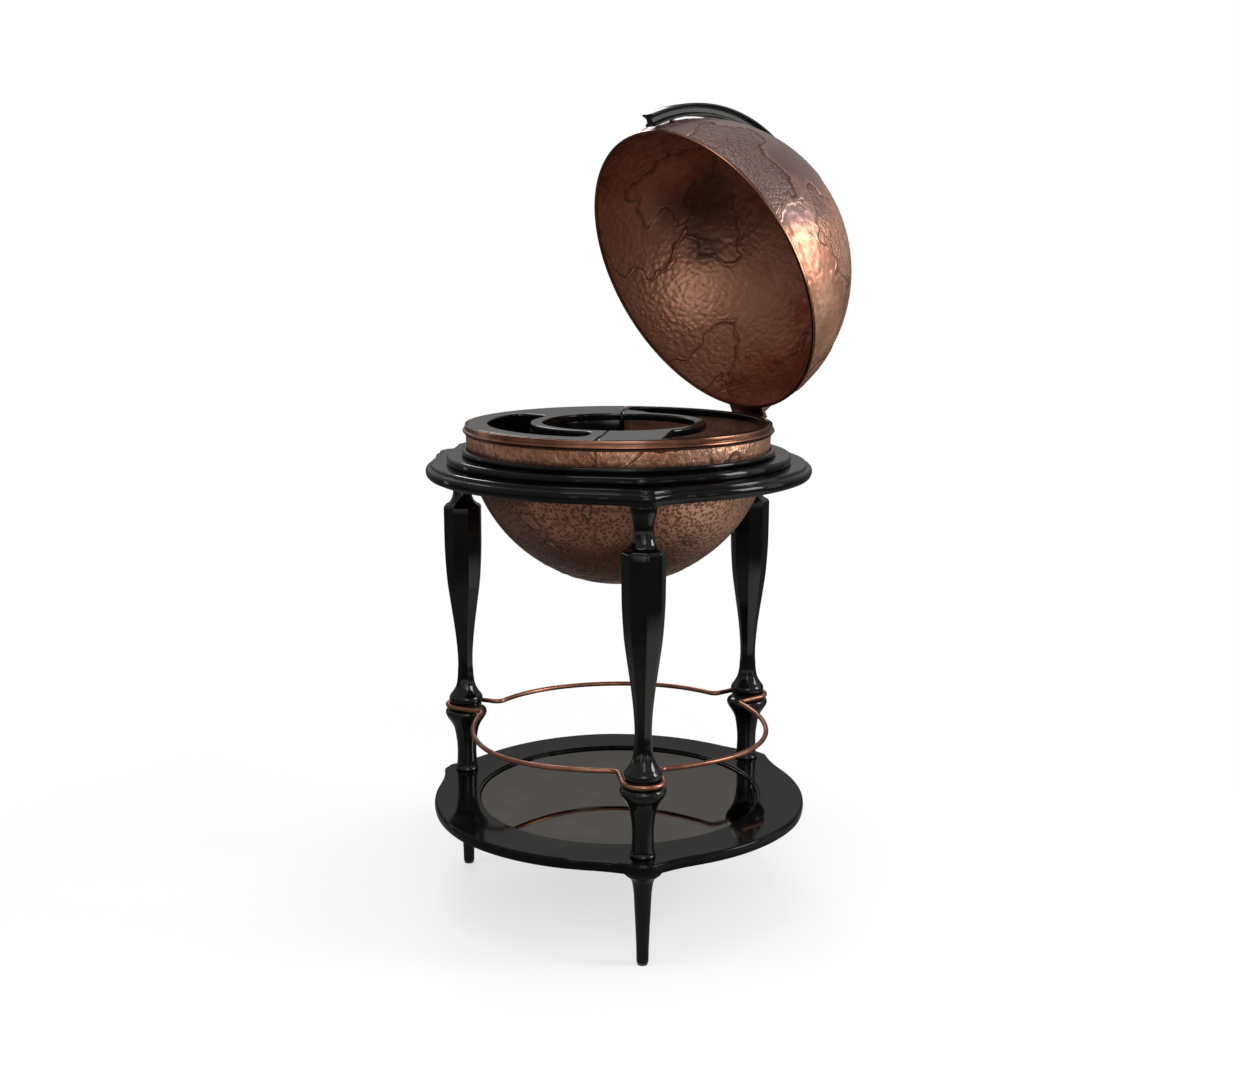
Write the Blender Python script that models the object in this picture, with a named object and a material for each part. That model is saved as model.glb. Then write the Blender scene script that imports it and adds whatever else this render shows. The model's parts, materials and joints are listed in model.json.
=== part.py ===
"""Copper globe drinks cabinet on a black lacquer stand with three legs.

The globe's lower half is a bowl that hangs in a moulded ring. The upper half is a lid that
turns on a hinge at the back and is modelled open, resting on the hinge's stop. The frame has
+Z up, its front towards -Y, and its origin on the floor under the middle of the plan, from the
front of the ring to the back of the open lid. Pieces are shaped about the globe's upright axis,
which stands a little in front of that middle. Lengths are in metres and angles in radians.
"""

import math

import bmesh
import bpy
from mathutils import Matrix

# Clearances and small sizes shared by every piece
GAP = 0.0003
LOOSE_FIT = 0.0022
OVERRUN = 0.010
MERGE_DISTANCE = 0.00001

# Steps around and along round work
LARGE_STEPS = 40
LEG_STEPS = 16
FOOT_STEPS = 12
SMALL_STEPS = 12
DOME_STEPS = 10

# The globe, which the ring, the boards, the lid and the hinge all follow
GLOBE_RADIUS = 0.255
GLOBE_CENTRE = 0.815
SHEET = 0.002

# Where the legs stand
LEG_NAMES = ("front_right", "back", "front_left")
FIRST_LEG_ANGLE = math.radians(-30.0)
LEG_SPACING_ANGLE = 2.0 * math.pi / len(LEG_NAMES)
LEG_OFFSET = 0.045
LEG_CIRCLE_RADIUS = GLOBE_RADIUS + LEG_OFFSET

# Heights of the stand, from the floor
SHELF_TOP = 0.1815
SHELF_THICKNESS = 0.0175
RAIL_RISE = 0.1235
RAIL_HEIGHT = SHELF_TOP + RAIL_RISE
APRON_DROP = 0.072
APRON_BOTTOM = GLOBE_CENTRE - APRON_DROP
APRON_THICKNESS = 0.0250
STEP_THICKNESS = 0.0130

# Feet
GLIDE_HEIGHT = 0.003
GLIDE_RADIUS = 0.0085
FOOT_RADIUS = 0.0305
FOOT_PROFILE_SHARES = (
    (0.000, 0.315),
    (0.155, 0.330),
    (0.510, 0.413),
    (0.680, 0.455),
    (0.740, 0.475),
    (0.810, 0.520),
    (0.855, 0.570),
    (0.885, 0.650),
    (0.910, 0.770),
    (0.930, 0.900),
    (0.945, 0.985),
    (0.960, 1.000),
    (1.000, 1.000),
)

# Tie rods that clamp foot, shelf and leg, and the studs at the leg tops
ROD_RADIUS = 0.004
ROD_HOLE_RADIUS = 0.0044
ROD_FOOT_DEPTH = 0.034
ROD_SHAFT_DEPTH = 0.042
STUD_SHAFT_DEPTH = 0.034
STUD_RING_DEPTH = 0.010

# Turned lower part of each leg, from the shelf up to the neck that the rail clasps
NECK_RADIUS = 0.028
NECK_HALF_HEIGHT = 0.0048
BASE_BULB_RADIUS = 0.037
BASE_PROFILE_SHARES = (
    (0.000, 0.540),
    (0.030, 0.545),
    (0.045, 0.520),
    (0.090, 0.490),
    (0.200, 0.470),
    (0.300, 0.463),
    (0.400, 0.480),
    (0.475, 0.510),
    (0.560, 0.555),
    (0.640, 0.625),
    (0.720, 0.770),
    (0.790, 0.930),
    (0.830, 0.990),
    (0.860, 1.000),
    (0.890, 0.960),
    (0.912, 0.860),
)

# Upper part of each leg: height share, radius share, and 1 where round or 0 where eight-sided
SHAFT_RADIUS = 0.0347
SHAFT_PROFILE_SHARES = (
    (0.0000, 0.800, 1.0),
    (0.0060, 0.856, 1.0),
    (0.0200, 0.862, 1.0),
    (0.0270, 0.830, 1.0),
    (0.0350, 0.760, 1.0),
    (0.0430, 0.690, 0.9),
    (0.0680, 0.530, 0.5),
    (0.0960, 0.455, 0.2),
    (0.1300, 0.420, 0.1),
    (0.1680, 0.395, 0.0),
    (0.2230, 0.420, 0.0),
    (0.2970, 0.505, 0.0),
    (0.3700, 0.625, 0.0),
    (0.4430, 0.757, 0.0),
    (0.5160, 0.878, 0.0),
    (0.6000, 0.955, 0.0),
    (0.6680, 0.988, 0.0),
    (0.8280, 1.000, 0.0),
    (0.8360, 0.930, 0.2),
    (0.8460, 0.710, 0.4),
    (0.8640, 0.545, 0.8),
    (0.8900, 0.467, 1.0),
    (0.9190, 0.456, 1.0),
    (0.9490, 0.520, 1.0),
    (0.9740, 0.600, 1.0),
    (1.0000, 0.610, 1.0),
)
HALF_FACET_ANGLE = math.radians(22.5)

# Copper rail round the legs' necks
RAIL_RADIUS = 0.0042
RAIL_SIDES = 6
RAIL_ARC_INSET = 0.0495
RAIL_ARC_RADIUS = LEG_CIRCLE_RADIUS - RAIL_ARC_INSET
RAIL_ARC_SWELL = 0.007
RAIL_SAG = 0.0035
RAIL_BEND_RADIUS = 0.015
RAIL_NECK_CLEARANCE = 0.0006
RAIL_ARC_STEPS = 14
RAIL_BEND_STEPS = 3
RAIL_WRAP_STEPS = 12

# Three-lobed boards: shelf, apron ring and step ring. Each flares in a long cove to a small flat
# at the legs, and swells a little midway between them.
SHELF_MARGIN = 0.0203
SHELF_CORNER_MARGIN = 0.0415
SHELF_ROUND_RADIUS = LEG_CIRCLE_RADIUS + SHELF_MARGIN
SHELF_CORNER_RADIUS = LEG_CIRCLE_RADIUS + SHELF_CORNER_MARGIN
SHELF_SWELL = 0.0037
APRON_MARGIN = 0.0235
APRON_CORNER_MARGIN = 0.0460
APRON_ROUND_RADIUS = LEG_CIRCLE_RADIUS + APRON_MARGIN
APRON_CORNER_RADIUS = LEG_CIRCLE_RADIUS + APRON_CORNER_MARGIN
APRON_SWELL = 0.0015
STEP_INSET = 0.0110
STEP_CORNER_MARGIN = 0.0020
STEP_ROUND_RADIUS = LEG_CIRCLE_RADIUS - STEP_INSET
STEP_CORNER_RADIUS = LEG_CIRCLE_RADIUS + STEP_CORNER_MARGIN
STEP_SWELL = 0.0015
CORNER_FLAT_WIDTH = 0.020
FLARE_ANGLE = math.radians(17.0)
FLARE_POWER = 2.4
SWELL_POWER = 1.5
FLARE_STOP_SHARES = (0.10, 0.25, 0.45, 0.70)
LOBE_ARC_STEPS = 10

# Edge mouldings as (inset share, height share), from the underside to the top
SHELF_EDGE_DEPTH = 0.010
SHELF_EDGE_SHARES = ((0.35, 0.0), (0.05, 0.12), (0.0, 0.35), (0.0, 0.62), (0.12, 0.84), (0.5, 1.0))
APRON_EDGE_DEPTH = 0.0125
APRON_EDGE_SHARES = (
    (0.60, 0.00),
    (0.38, 0.06),
    (0.17, 0.18),
    (0.04, 0.32),
    (0.00, 0.46),
    (0.05, 0.60),
    (0.21, 0.72),
    (0.44, 0.775),
    (0.56, 0.79),
    (0.66, 0.83),
    (0.70, 0.90),
    (0.84, 0.97),
    (1.00, 1.00),
)
STEP_EDGE_DEPTH = 0.0042
STEP_EDGE_SHARES = (
    (0.80, 0.00),
    (0.24, 0.06),
    (0.00, 0.35),
    (0.05, 0.60),
    (0.29, 0.82),
    (0.62, 0.95),
    (1.00, 1.00),
)

# Recess and dark glass of the shelf
RECESS_RADIUS = 0.2427
RECESS_DEPTH = 0.0100
LIP_WIDTH = 0.0045
LIP_DEPTH = 0.0022
GLASS_THICKNESS = 0.0047

# Bowl
BOWL_LIP_HEIGHT = 0.005
BOWL_LIP = GLOBE_CENTRE + BOWL_LIP_HEIGHT
SEAT_CLEARANCE = 0.0012

# Round bead that seats the bowl on the step ring
SEAT_BEAD_RADIUS = 0.0048
SEAT_BEAD_SIDES = 6

# Copper rim band with its rolled bead, as (height, outward bulge)
BAND_HEIGHT = 0.0166
BAND_BOTTOM = GLOBE_CENTRE
BAND_TOP = BAND_BOTTOM + BAND_HEIGHT
BAND_THICKNESS = 0.002
BAND_BEAD_BULGE = 0.0037
BAND_PROFILE_SHARES = (
    (0.00, 0.0),
    (0.16, 0.0),
    (0.24, 0.78),
    (0.36, 1.0),
    (0.48, 0.78),
    (0.56, 0.0),
    (0.94, 0.0),
)
BAND_EDGE_EASE = 0.0007

# Black serving boards and what stands under them
BOARD_EDGE_CLEARANCE = 0.0005
BOARD_RADIUS = GLOBE_RADIUS - BOARD_EDGE_CLEARANCE
BOARD_THICKNESS = 0.012
BOARD_LIP_CLEARANCE = 0.0005
BOARD_BOTTOM = BOWL_LIP + BOARD_LIP_CLEARANCE
WELL_RADIUS = 0.128
FRONT_SEAM_ANGLE = math.radians(-45.0)
BACK_SEAM_ANGLE = math.radians(140.0)
SEAM_HALF_ANGLE = math.radians(0.1)
WELL_RING_WIDTH = 0.020
POCKET_RIM_WIDTH = 0.035
POCKET_INNER_RADIUS = WELL_RADIUS + WELL_RING_WIDTH
POCKET_OUTER_RADIUS = BOARD_RADIUS - POCKET_RIM_WIDTH
POCKET_START_ANGLE = math.radians(196.0)
POCKET_END_ANGLE = math.radians(308.0)
POCKET_CORNER_RADIUS = 0.022
BAY_RIM_WIDTH = 0.0105
BAY_OUTER_RADIUS = BOARD_RADIUS - BAY_RIM_WIDTH
BAY_FRONT_INNER_ANGLE = math.radians(-1.0)
BAY_FRONT_OUTER_ANGLE = math.radians(-21.5)
BAY_BACK_INNER_ANGLE = math.radians(120.0)
BAY_BACK_OUTER_ANGLE = math.radians(133.0)
BAY_BACK_TIP_SHARES = ((0.85, 0.35), (0.45, 0.43), (0.18, -0.45))
ARC_STEP_ANGLE = math.radians(7.5)

LINER_WALL = 0.0025
POCKET_DEPTH = 0.098
WELL_WALL = 0.0045
WELL_FLOOR_RISE = 0.055
WELL_FLOOR_HEIGHT = GLOBE_CENTRE - GLOBE_RADIUS + WELL_FLOOR_RISE
WELL_FLOOR_THICKNESS = 0.008
DIVIDER_THICKNESS = 0.008
DIVIDER_FOOT_RISE = 0.017
DIVIDER_FOOT_HEIGHT = WELL_FLOOR_HEIGHT + WELL_FLOOR_THICKNESS + DIVIDER_FOOT_RISE
BAY_DEPTH = 0.0995
BAY_FLOOR_THICKNESS = 0.006
BAY_FLOOR_HEIGHT = BOARD_BOTTOM - BAY_DEPTH - BAY_FLOOR_THICKNESS

# Lid, in its closed place
LID_OVERHANG = 0.005
LID_SEAT_CLEARANCE = 0.0004
LID_RADIUS = GLOBE_RADIUS + LID_OVERHANG
LID_CENTRE = BAND_TOP + LID_SEAT_CLEARANCE
HOOP_HEIGHT = 0.0045
HOOP_WIDTH = 0.0044
LID_OPEN_ANGLE = math.radians(64.7)

# Hinge at the back, modelled with the lid closed
HINGE_REACH = 0.0156
HINGE_RISE = 0.0015
HINGE_Y = LID_RADIUS + HINGE_REACH
HINGE_Z = GLOBE_CENTRE + HINGE_RISE
HINGE_WIDTH = 0.086
KNUCKLE_COUNT = 5
KNUCKLE_GAP = 0.0004
BARREL_RADIUS = 0.0052
PIN_RADIUS = 0.0022
PIN_HOLE_RADIUS = 0.0026
PIN_HEAD_RADIUS = 0.0042
PIN_HEAD_LENGTH = 0.002
BRACKET_HEIGHT = 0.0195
BRACKET_TOP_DROP = 0.0035
BRACKET_THICKNESS = 0.0075
BRACKET_TOP = HINGE_Z - BRACKET_TOP_DROP
BRACKET_BOTTOM = BRACKET_TOP - BRACKET_HEIGHT
BRACKET_FACE = GLOBE_RADIUS + BRACKET_THICKNESS
STOP_PLATE_DROP = 0.0110
STOP_PLATE_THICKNESS = 0.0035
STOP_PLATE_BOTTOM = HINGE_Z - STOP_PLATE_DROP
STOP_PLATE_TOP = STOP_PLATE_BOTTOM + STOP_PLATE_THICKNESS
STOP_LIP_REACH = 0.0156
STOP_LIP_THICKNESS = 0.0033
STOP_LIP_RISE = 0.0031
STOP_LIP_INNER = HINGE_Y + STOP_LIP_REACH
STOP_LIP_OUTER = STOP_LIP_INNER + STOP_LIP_THICKNESS
STOP_LIP_TOP = HINGE_Z + STOP_LIP_RISE
KNUCKLE_WEB_THICKNESS = 0.0066
LEAF_THICKNESS = 0.0055
LEAF_FACE = LID_RADIUS + LEAF_THICKNESS
LEAF_RISE = 0.0025
LEAF_HEIGHT = 0.0235
LEAF_BOTTOM = LID_CENTRE + LEAF_RISE
LEAF_TOP = LEAF_BOTTOM + LEAF_HEIGHT
LEAF_PLATE_THICKNESS = 0.0055
LEAF_PLATE_CLEARANCE = 0.0008
LEAF_PLATE_TOP = LEAF_BOTTOM + LEAF_PLATE_THICKNESS
LEAF_PLATE_BOTTOM = HINGE_Z + BARREL_RADIUS + LEAF_PLATE_CLEARANCE
SCREW_HEAD_RADIUS = 0.0040
SCREW_HEAD_HEIGHT = 0.0022
SCREW_INSET = 0.015
SCREW_SPACING = HINGE_WIDTH - 2.0 * SCREW_INSET

# Meridian arc that serves as the lid's handle, and its posts
ARC_LIFT = 0.0040
ARC_HEIGHT = 0.0210
ARC_INNER_RADIUS = LID_RADIUS + ARC_LIFT
ARC_OUTER_RADIUS = ARC_INNER_RADIUS + ARC_HEIGHT
ARC_WIDTH = 0.0285
ARC_FLANGE = 0.0042
ARC_WEB_WIDTH = 0.0150
ARC_START_ANGLE = math.radians(2.0)
ARC_END_ANGLE = math.radians(174.0)
ARC_STEPS = 36
POST_RADIUS = 0.0045
POST_ANGLES = tuple(math.radians(degrees) for degrees in (12.0, 50.0, 88.0, 126.0, 164.0))

# Finishes as base colour, roughness and metallic
LACQUER = ("black_lacquer", (0.012, 0.012, 0.013, 1.0), 0.08, 0.0)
COPPER = ("hammered_copper", (0.55, 0.25, 0.16, 1.0), 0.32, 1.0)
DARK_GLASS = ("dark_glass", (0.03, 0.028, 0.026, 1.0), 0.04, 0.0)
STEEL = ("steel", (0.45, 0.45, 0.46, 1.0), 0.35, 1.0)
BRONZE = ("dark_bronze", (0.16, 0.09, 0.06, 1.0), 0.40, 1.0)
FELT = ("felt", (0.05, 0.05, 0.05, 1.0), 0.90, 0.0)

# Heights and radii that follow from the sizes above
FOOT_TOP = SHELF_TOP - SHELF_THICKNESS - GAP
BASE_BOTTOM = SHELF_TOP + GAP
BASE_TOP = RAIL_HEIGHT + NECK_HALF_HEIGHT
SHAFT_BOTTOM = BASE_TOP + GAP
SHAFT_TOP = APRON_BOTTOM - GAP
APRON_TOP = APRON_BOTTOM + APRON_THICKNESS
STEP_BOTTOM = APRON_TOP + GAP
STEP_TOP = STEP_BOTTOM + STEP_THICKNESS
BOARD_TOP = BOARD_BOTTOM + BOARD_THICKNESS
UNDER_BOARDS = BOARD_BOTTOM - GAP
BAND_INNER_RADIUS = GLOBE_RADIUS + GAP + GAP
BAND_OUTER_RADIUS = BAND_INNER_RADIUS + BAND_THICKNESS
HOOP_BOTTOM = BAND_TOP + GAP + GAP
HOOP_TOP = HOOP_BOTTOM + HOOP_HEIGHT
DOME_BOTTOM = HOOP_TOP + GAP


def globe_radius_at(height, radius=GLOBE_RADIUS):
    """Radius of a sphere about the globe's centre, measured at a height below its equator."""
    return math.sqrt(radius**2 - (GLOBE_CENTRE - height) ** 2)


def open_lid_reach():
    """How far behind the globe's axis the meridian arc reaches when the lid is open."""
    back = HINGE_Y * (1.0 - math.cos(LID_OPEN_ANGLE)) + (LID_CENTRE - HINGE_Z) * math.sin(LID_OPEN_ANGLE)
    return back + ARC_OUTER_RADIUS


RING_HOLE_RADIUS = globe_radius_at(STEP_TOP) + SEAT_CLEARANCE
APRON_REACH = APRON_ROUND_RADIUS + APRON_SWELL
PLAN_MIDDLE_Y = (open_lid_reach() - APRON_REACH) / 2.0


def finish_material(finish):
    """The material of a finish, made the first time that it is asked for."""
    name, colour, roughness, metallic = finish
    material = bpy.data.materials.get(name)
    if material is None:
        material = bpy.data.materials.new(name)
        material.use_nodes = True
        shader = material.node_tree.nodes["Principled BSDF"]
        shader.inputs["Base Color"].default_value = colour
        shader.inputs["Roughness"].default_value = roughness
        shader.inputs["Metallic"].default_value = metallic
        material.diffuse_color = colour
    return material


def mesh_from(build, name):
    """A mesh data block from a bmesh, with its faces turned outwards."""
    bmesh.ops.recalc_face_normals(build, faces=build.faces)
    mesh = bpy.data.meshes.new(name)
    build.to_mesh(mesh)
    build.free()
    mesh.shade_smooth()
    mesh.set_sharp_from_angle(angle=math.radians(32.0))
    return mesh


def add_object(name, mesh, finish, parent=None):
    """Links a named object with its finish, under a parent where it has one."""
    thing = bpy.data.objects.new(name, mesh)
    if not mesh.materials:
        mesh.materials.append(finish_material(finish))
    bpy.context.scene.collection.objects.link(thing)
    if parent is not None:
        thing.parent = parent
    return thing


def circle_points(radius, height, steps):
    """Points evenly spaced on a level circle about the Z axis."""
    return [
        (radius * math.cos(2.0 * math.pi * k / steps), radius * math.sin(2.0 * math.pi * k / steps), height)
        for k in range(steps)
    ]


def loft_mesh(name, rings, closed=False):
    """Skins rings of equal length. The ends are capped, or joined to each other where closed."""
    build = bmesh.new()
    rows = [[build.verts.new(point) for point in ring] for ring in rings]
    pairs = list(zip(rows, rows[1:]))
    if closed:
        pairs.append((rows[-1], rows[0]))
    count = len(rows[0])
    for low, high in pairs:
        for k in range(count):
            build.faces.new((low[k], low[(k + 1) % count], high[(k + 1) % count], high[k]))
    if not closed:
        build.faces.new(list(reversed(rows[0])))
        build.faces.new(rows[-1])
    return mesh_from(build, name)


def turned_mesh(name, profile, steps, ring=False):
    """Spins (radius, height) points about the Z axis. A ring's profile is a closed loop."""
    build = bmesh.new()
    verts = [build.verts.new((radius, 0.0, height)) for radius, height in profile]
    edges = [build.edges.new(pair) for pair in zip(verts, verts[1:])]
    if ring:
        edges.append(build.edges.new((verts[-1], verts[0])))
    bmesh.ops.spin(
        build,
        geom=verts + edges,
        cent=(0.0, 0.0, 0.0),
        axis=(0.0, 0.0, 1.0),
        angle=2.0 * math.pi,
        steps=steps,
        use_merge=True,
    )
    bmesh.ops.remove_doubles(build, verts=build.verts, dist=MERGE_DISTANCE)
    return mesh_from(build, name)


def slab_mesh(name, outline, bottom, top):
    """A flat plate: an outline in plan, drawn up from one height to another."""
    build = bmesh.new()
    face = build.faces.new([build.verts.new((x, y, bottom)) for x, y in outline])
    grown = bmesh.ops.extrude_face_region(build, geom=[face])
    lifted = [item for item in grown["geom"] if isinstance(item, bmesh.types.BMVert)]
    bmesh.ops.translate(build, verts=lifted, vec=(0.0, 0.0, top - bottom))
    return mesh_from(build, name)


def block_mesh(name, low, high):
    """A box between two corners."""
    build = bmesh.new()
    size = [b - a for a, b in zip(low, high)]
    middle = [(a + b) / 2.0 for a, b in zip(low, high)]
    bmesh.ops.create_cube(build, size=1.0, matrix=Matrix.Translation(middle) @ Matrix.Diagonal((*size, 1.0)))
    return mesh_from(build, name)


def rod_mesh(name, radius, length, steps, axis="Z"):
    """A solid cylinder about the origin, along Z or along X."""
    build = bmesh.new()
    turn = Matrix.Rotation(math.pi / 2.0, 4, "Y") if axis == "X" else Matrix.Identity(4)
    bmesh.ops.create_cone(
        build, cap_ends=True, segments=steps, radius1=radius, radius2=radius, depth=length, matrix=turn
    )
    return mesh_from(build, name)


def carve(target, mesh, operation):
    """Joins a mesh to an object's own, or cuts it out, and keeps only the result."""
    tool = bpy.data.objects.new(mesh.name, mesh)
    bpy.context.scene.collection.objects.link(tool)
    tool.matrix_world = target.matrix_world
    step = target.modifiers.new(operation.lower(), "BOOLEAN")
    step.operation = operation
    step.solver = "EXACT"
    step.object = tool
    bpy.context.view_layer.update()
    shaped = bpy.data.meshes.new_from_object(target.evaluated_get(bpy.context.evaluated_depsgraph_get()))
    target.modifiers.clear()
    target.data = shaped
    bpy.data.objects.remove(tool)


def moved(mesh, offset):
    """The same mesh, shifted."""
    mesh.transform(Matrix.Translation(offset))
    return mesh


def leg_angle(index):
    """Plan angle of a leg."""
    return FIRST_LEG_ANGLE + index * LEG_SPACING_ANGLE


def add_at_legs(prefix, mesh, finish):
    """Three copies of a mesh that is modelled about the Z axis, one at each leg."""
    for index, leg in enumerate(LEG_NAMES):
        angle = leg_angle(index)
        piece = add_object(f"{prefix}_{leg}", mesh, finish)
        piece.location = (LEG_CIRCLE_RADIUS * math.cos(angle), LEG_CIRCLE_RADIUS * math.sin(angle), 0.0)
        piece.rotation_euler = (0.0, 0.0, angle)


def add_feet():
    """Turned feet, each on a felt glide, bored from above for the tie rod."""
    bottom = GLIDE_HEIGHT + GAP
    height = FOOT_TOP - bottom
    profile = [(0.0, bottom)]
    profile += [(FOOT_RADIUS * share, bottom + height * rise) for rise, share in FOOT_PROFILE_SHARES]
    profile += [(ROD_HOLE_RADIUS, FOOT_TOP), (ROD_HOLE_RADIUS, FOOT_TOP - ROD_FOOT_DEPTH)]
    profile += [(0.0, FOOT_TOP - ROD_FOOT_DEPTH)]
    add_at_legs("foot", turned_mesh("foot", profile, FOOT_STEPS), LACQUER)
    glide = [(0.0, 0.0), (GLIDE_RADIUS, 0.0), (GLIDE_RADIUS, GLIDE_HEIGHT), (0.0, GLIDE_HEIGHT)]
    add_at_legs("glide", turned_mesh("glide", glide, FOOT_STEPS), FELT)


def add_tie_rods():
    """Threaded rods through shelf and lower leg, and studs from the leg tops into the apron ring."""
    low = FOOT_TOP - ROD_FOOT_DEPTH + GAP
    high = SHAFT_BOTTOM + ROD_SHAFT_DEPTH - GAP
    rod = moved(rod_mesh("tie_rod", ROD_RADIUS, high - low, SMALL_STEPS), (0.0, 0.0, (low + high) / 2.0))
    add_at_legs("tie_rod", rod, STEEL)
    low = SHAFT_TOP - STUD_SHAFT_DEPTH + GAP
    high = APRON_BOTTOM + STUD_RING_DEPTH - GAP
    stud = moved(rod_mesh("ring_stud", ROD_RADIUS, high - low, SMALL_STEPS), (0.0, 0.0, (low + high) / 2.0))
    add_at_legs("ring_stud", stud, STEEL)


def add_leg_bases():
    """Turned bulb and neck between shelf and rail, bored right through for the tie rod."""
    height = BASE_TOP - BASE_BOTTOM
    profile = [(ROD_HOLE_RADIUS, BASE_BOTTOM)]
    for rise, share in BASE_PROFILE_SHARES:
        profile.append((BASE_BULB_RADIUS * share, BASE_BOTTOM + height * rise))
    profile += [(NECK_RADIUS, RAIL_HEIGHT - NECK_HALF_HEIGHT), (NECK_RADIUS, BASE_TOP)]
    profile += [(ROD_HOLE_RADIUS, BASE_TOP)]
    add_at_legs("leg_base", turned_mesh("leg_base", profile, LEG_STEPS, ring=True), LACQUER)


def shaft_ring(rise, share, roundness):
    """One section of the upper leg, between a circle and an octagon with an edge facing outwards."""
    height = SHAFT_BOTTOM + (SHAFT_TOP - SHAFT_BOTTOM) * rise
    flat_share = math.cos(HALF_FACET_ANGLE)
    middle_share = flat_share + (1.0 - flat_share) * roundness
    points = []
    for k in range(LEG_STEPS):
        radius = SHAFT_RADIUS * share * (middle_share if k % 2 else 1.0)
        angle = 2.0 * math.pi * k / LEG_STEPS
        points.append((radius * math.cos(angle), radius * math.sin(angle), height))
    return points


def add_leg_shafts():
    """Eight-sided balusters with a round bell and a round neck, bored at both ends."""
    rings = [circle_points(ROD_HOLE_RADIUS, SHAFT_BOTTOM + ROD_SHAFT_DEPTH, LEG_STEPS)]
    rings.append(circle_points(ROD_HOLE_RADIUS, SHAFT_BOTTOM, LEG_STEPS))
    rings += [shaft_ring(*row) for row in SHAFT_PROFILE_SHARES]
    rings.append(circle_points(ROD_HOLE_RADIUS, SHAFT_TOP, LEG_STEPS))
    rings.append(circle_points(ROD_HOLE_RADIUS, SHAFT_TOP - STUD_SHAFT_DEPTH, LEG_STEPS))
    add_at_legs("leg_shaft", loft_mesh("leg_shaft", rings), LACQUER)


def rail_path():
    """Centre line of the rail: slack arcs between the legs, bent out to clasp each neck from outside."""
    wrap = NECK_RADIUS + RAIL_NECK_CLEARANCE + RAIL_RADIUS
    bend_side = wrap + RAIL_BEND_RADIUS
    bend_out = math.sqrt((RAIL_ARC_RADIUS + RAIL_BEND_RADIUS) ** 2 - bend_side**2)
    bend_turn = math.atan2(bend_out, bend_side)
    points = []
    for index in range(len(LEG_NAMES)):
        along = leg_angle(index)

        def place(side, out):
            """A point given beside and outwards of the leg's radius."""
            return (
                out * math.cos(along) - side * math.sin(along),
                out * math.sin(along) + side * math.cos(along),
                RAIL_HEIGHT,
            )

        bend = []
        for k in range(RAIL_BEND_STEPS + 1):
            turn = bend_turn * (1.0 - k / RAIL_BEND_STEPS)
            side = bend_side - RAIL_BEND_RADIUS * math.cos(turn)
            bend.append((side, bend_out - RAIL_BEND_RADIUS * math.sin(turn)))
        points += [place(-side, out) for side, out in bend]
        for k in range(RAIL_WRAP_STEPS + 1):
            turn = math.pi * (1.0 - k / RAIL_WRAP_STEPS)
            points.append(place(wrap * math.cos(turn), LEG_CIRCLE_RADIUS + wrap * math.sin(turn)))
        points += [place(side, out) for side, out in reversed(bend)]
        start = along + math.atan2(bend[0][0], bend[0][1])
        span = LEG_SPACING_ANGLE - 2.0 * math.atan2(bend[0][0], bend[0][1])
        for k in range(1, RAIL_ARC_STEPS):
            angle = start + span * k / RAIL_ARC_STEPS
            ease = math.sin(math.pi * k / RAIL_ARC_STEPS) ** 2
            radius = RAIL_ARC_RADIUS + RAIL_ARC_SWELL * ease
            height = RAIL_HEIGHT - RAIL_SAG * ease
            points.append((radius * math.cos(angle), radius * math.sin(angle), height))
    return points


def add_rail():
    """One closed copper rod that clasps the three necks."""
    path = rail_path()
    count = len(path)
    rings = []
    for k, (x, y, z) in enumerate(path):
        before = path[k - 1]
        after = path[(k + 1) % count]
        heading = math.atan2(after[1] - before[1], after[0] - before[0])
        ring = []
        for side in range(RAIL_SIDES):
            turn = 2.0 * math.pi * (side + 0.5) / RAIL_SIDES
            out = RAIL_RADIUS * math.cos(turn)
            rise = RAIL_RADIUS * math.sin(turn)
            ring.append((x + out * math.sin(heading), y - out * math.cos(heading), z + rise))
        rings.append(ring)
    add_object("rail", loft_mesh("rail", rings, closed=True), COPPER)


def lobe_angles(corner_radius):
    """Plan angles of a three-lobed outline's points, closer together where it flares."""
    flat = math.asin(CORNER_FLAT_WIDTH / 2.0 / corner_radius)
    flares = [flat + (FLARE_ANGLE - flat) * share for share in (0.0, *FLARE_STOP_SHARES, 1.0)]
    span = LEG_SPACING_ANGLE - 2.0 * FLARE_ANGLE
    angles = []
    for index in range(len(LEG_NAMES)):
        centre = leg_angle(index)
        angles += [centre - flare for flare in reversed(flares)]
        angles += [centre + flare for flare in flares]
        angles += [centre + FLARE_ANGLE + span * k / LOBE_ARC_STEPS for k in range(1, LOBE_ARC_STEPS)]
    return angles


def lobed_radius(angle, round_radius, corner_radius, swell):
    """Radius of the outline at an angle: round, with a cove out to a straight flat at each leg."""
    flat = math.asin(CORNER_FLAT_WIDTH / 2.0 / corner_radius)
    half = LEG_SPACING_ANGLE / 2.0
    offset = abs((angle - FIRST_LEG_ANGLE + half) % LEG_SPACING_ANGLE - half)
    if offset <= flat:
        return corner_radius * math.cos(flat) / math.cos(offset)
    cove = max(1.0 - (offset - flat) / (FLARE_ANGLE - flat), 0.0)
    midway = max(offset - FLARE_ANGLE, 0.0) / (half - FLARE_ANGLE)
    return round_radius + (corner_radius - round_radius) * cove**FLARE_POWER + swell * midway**SWELL_POWER


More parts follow.
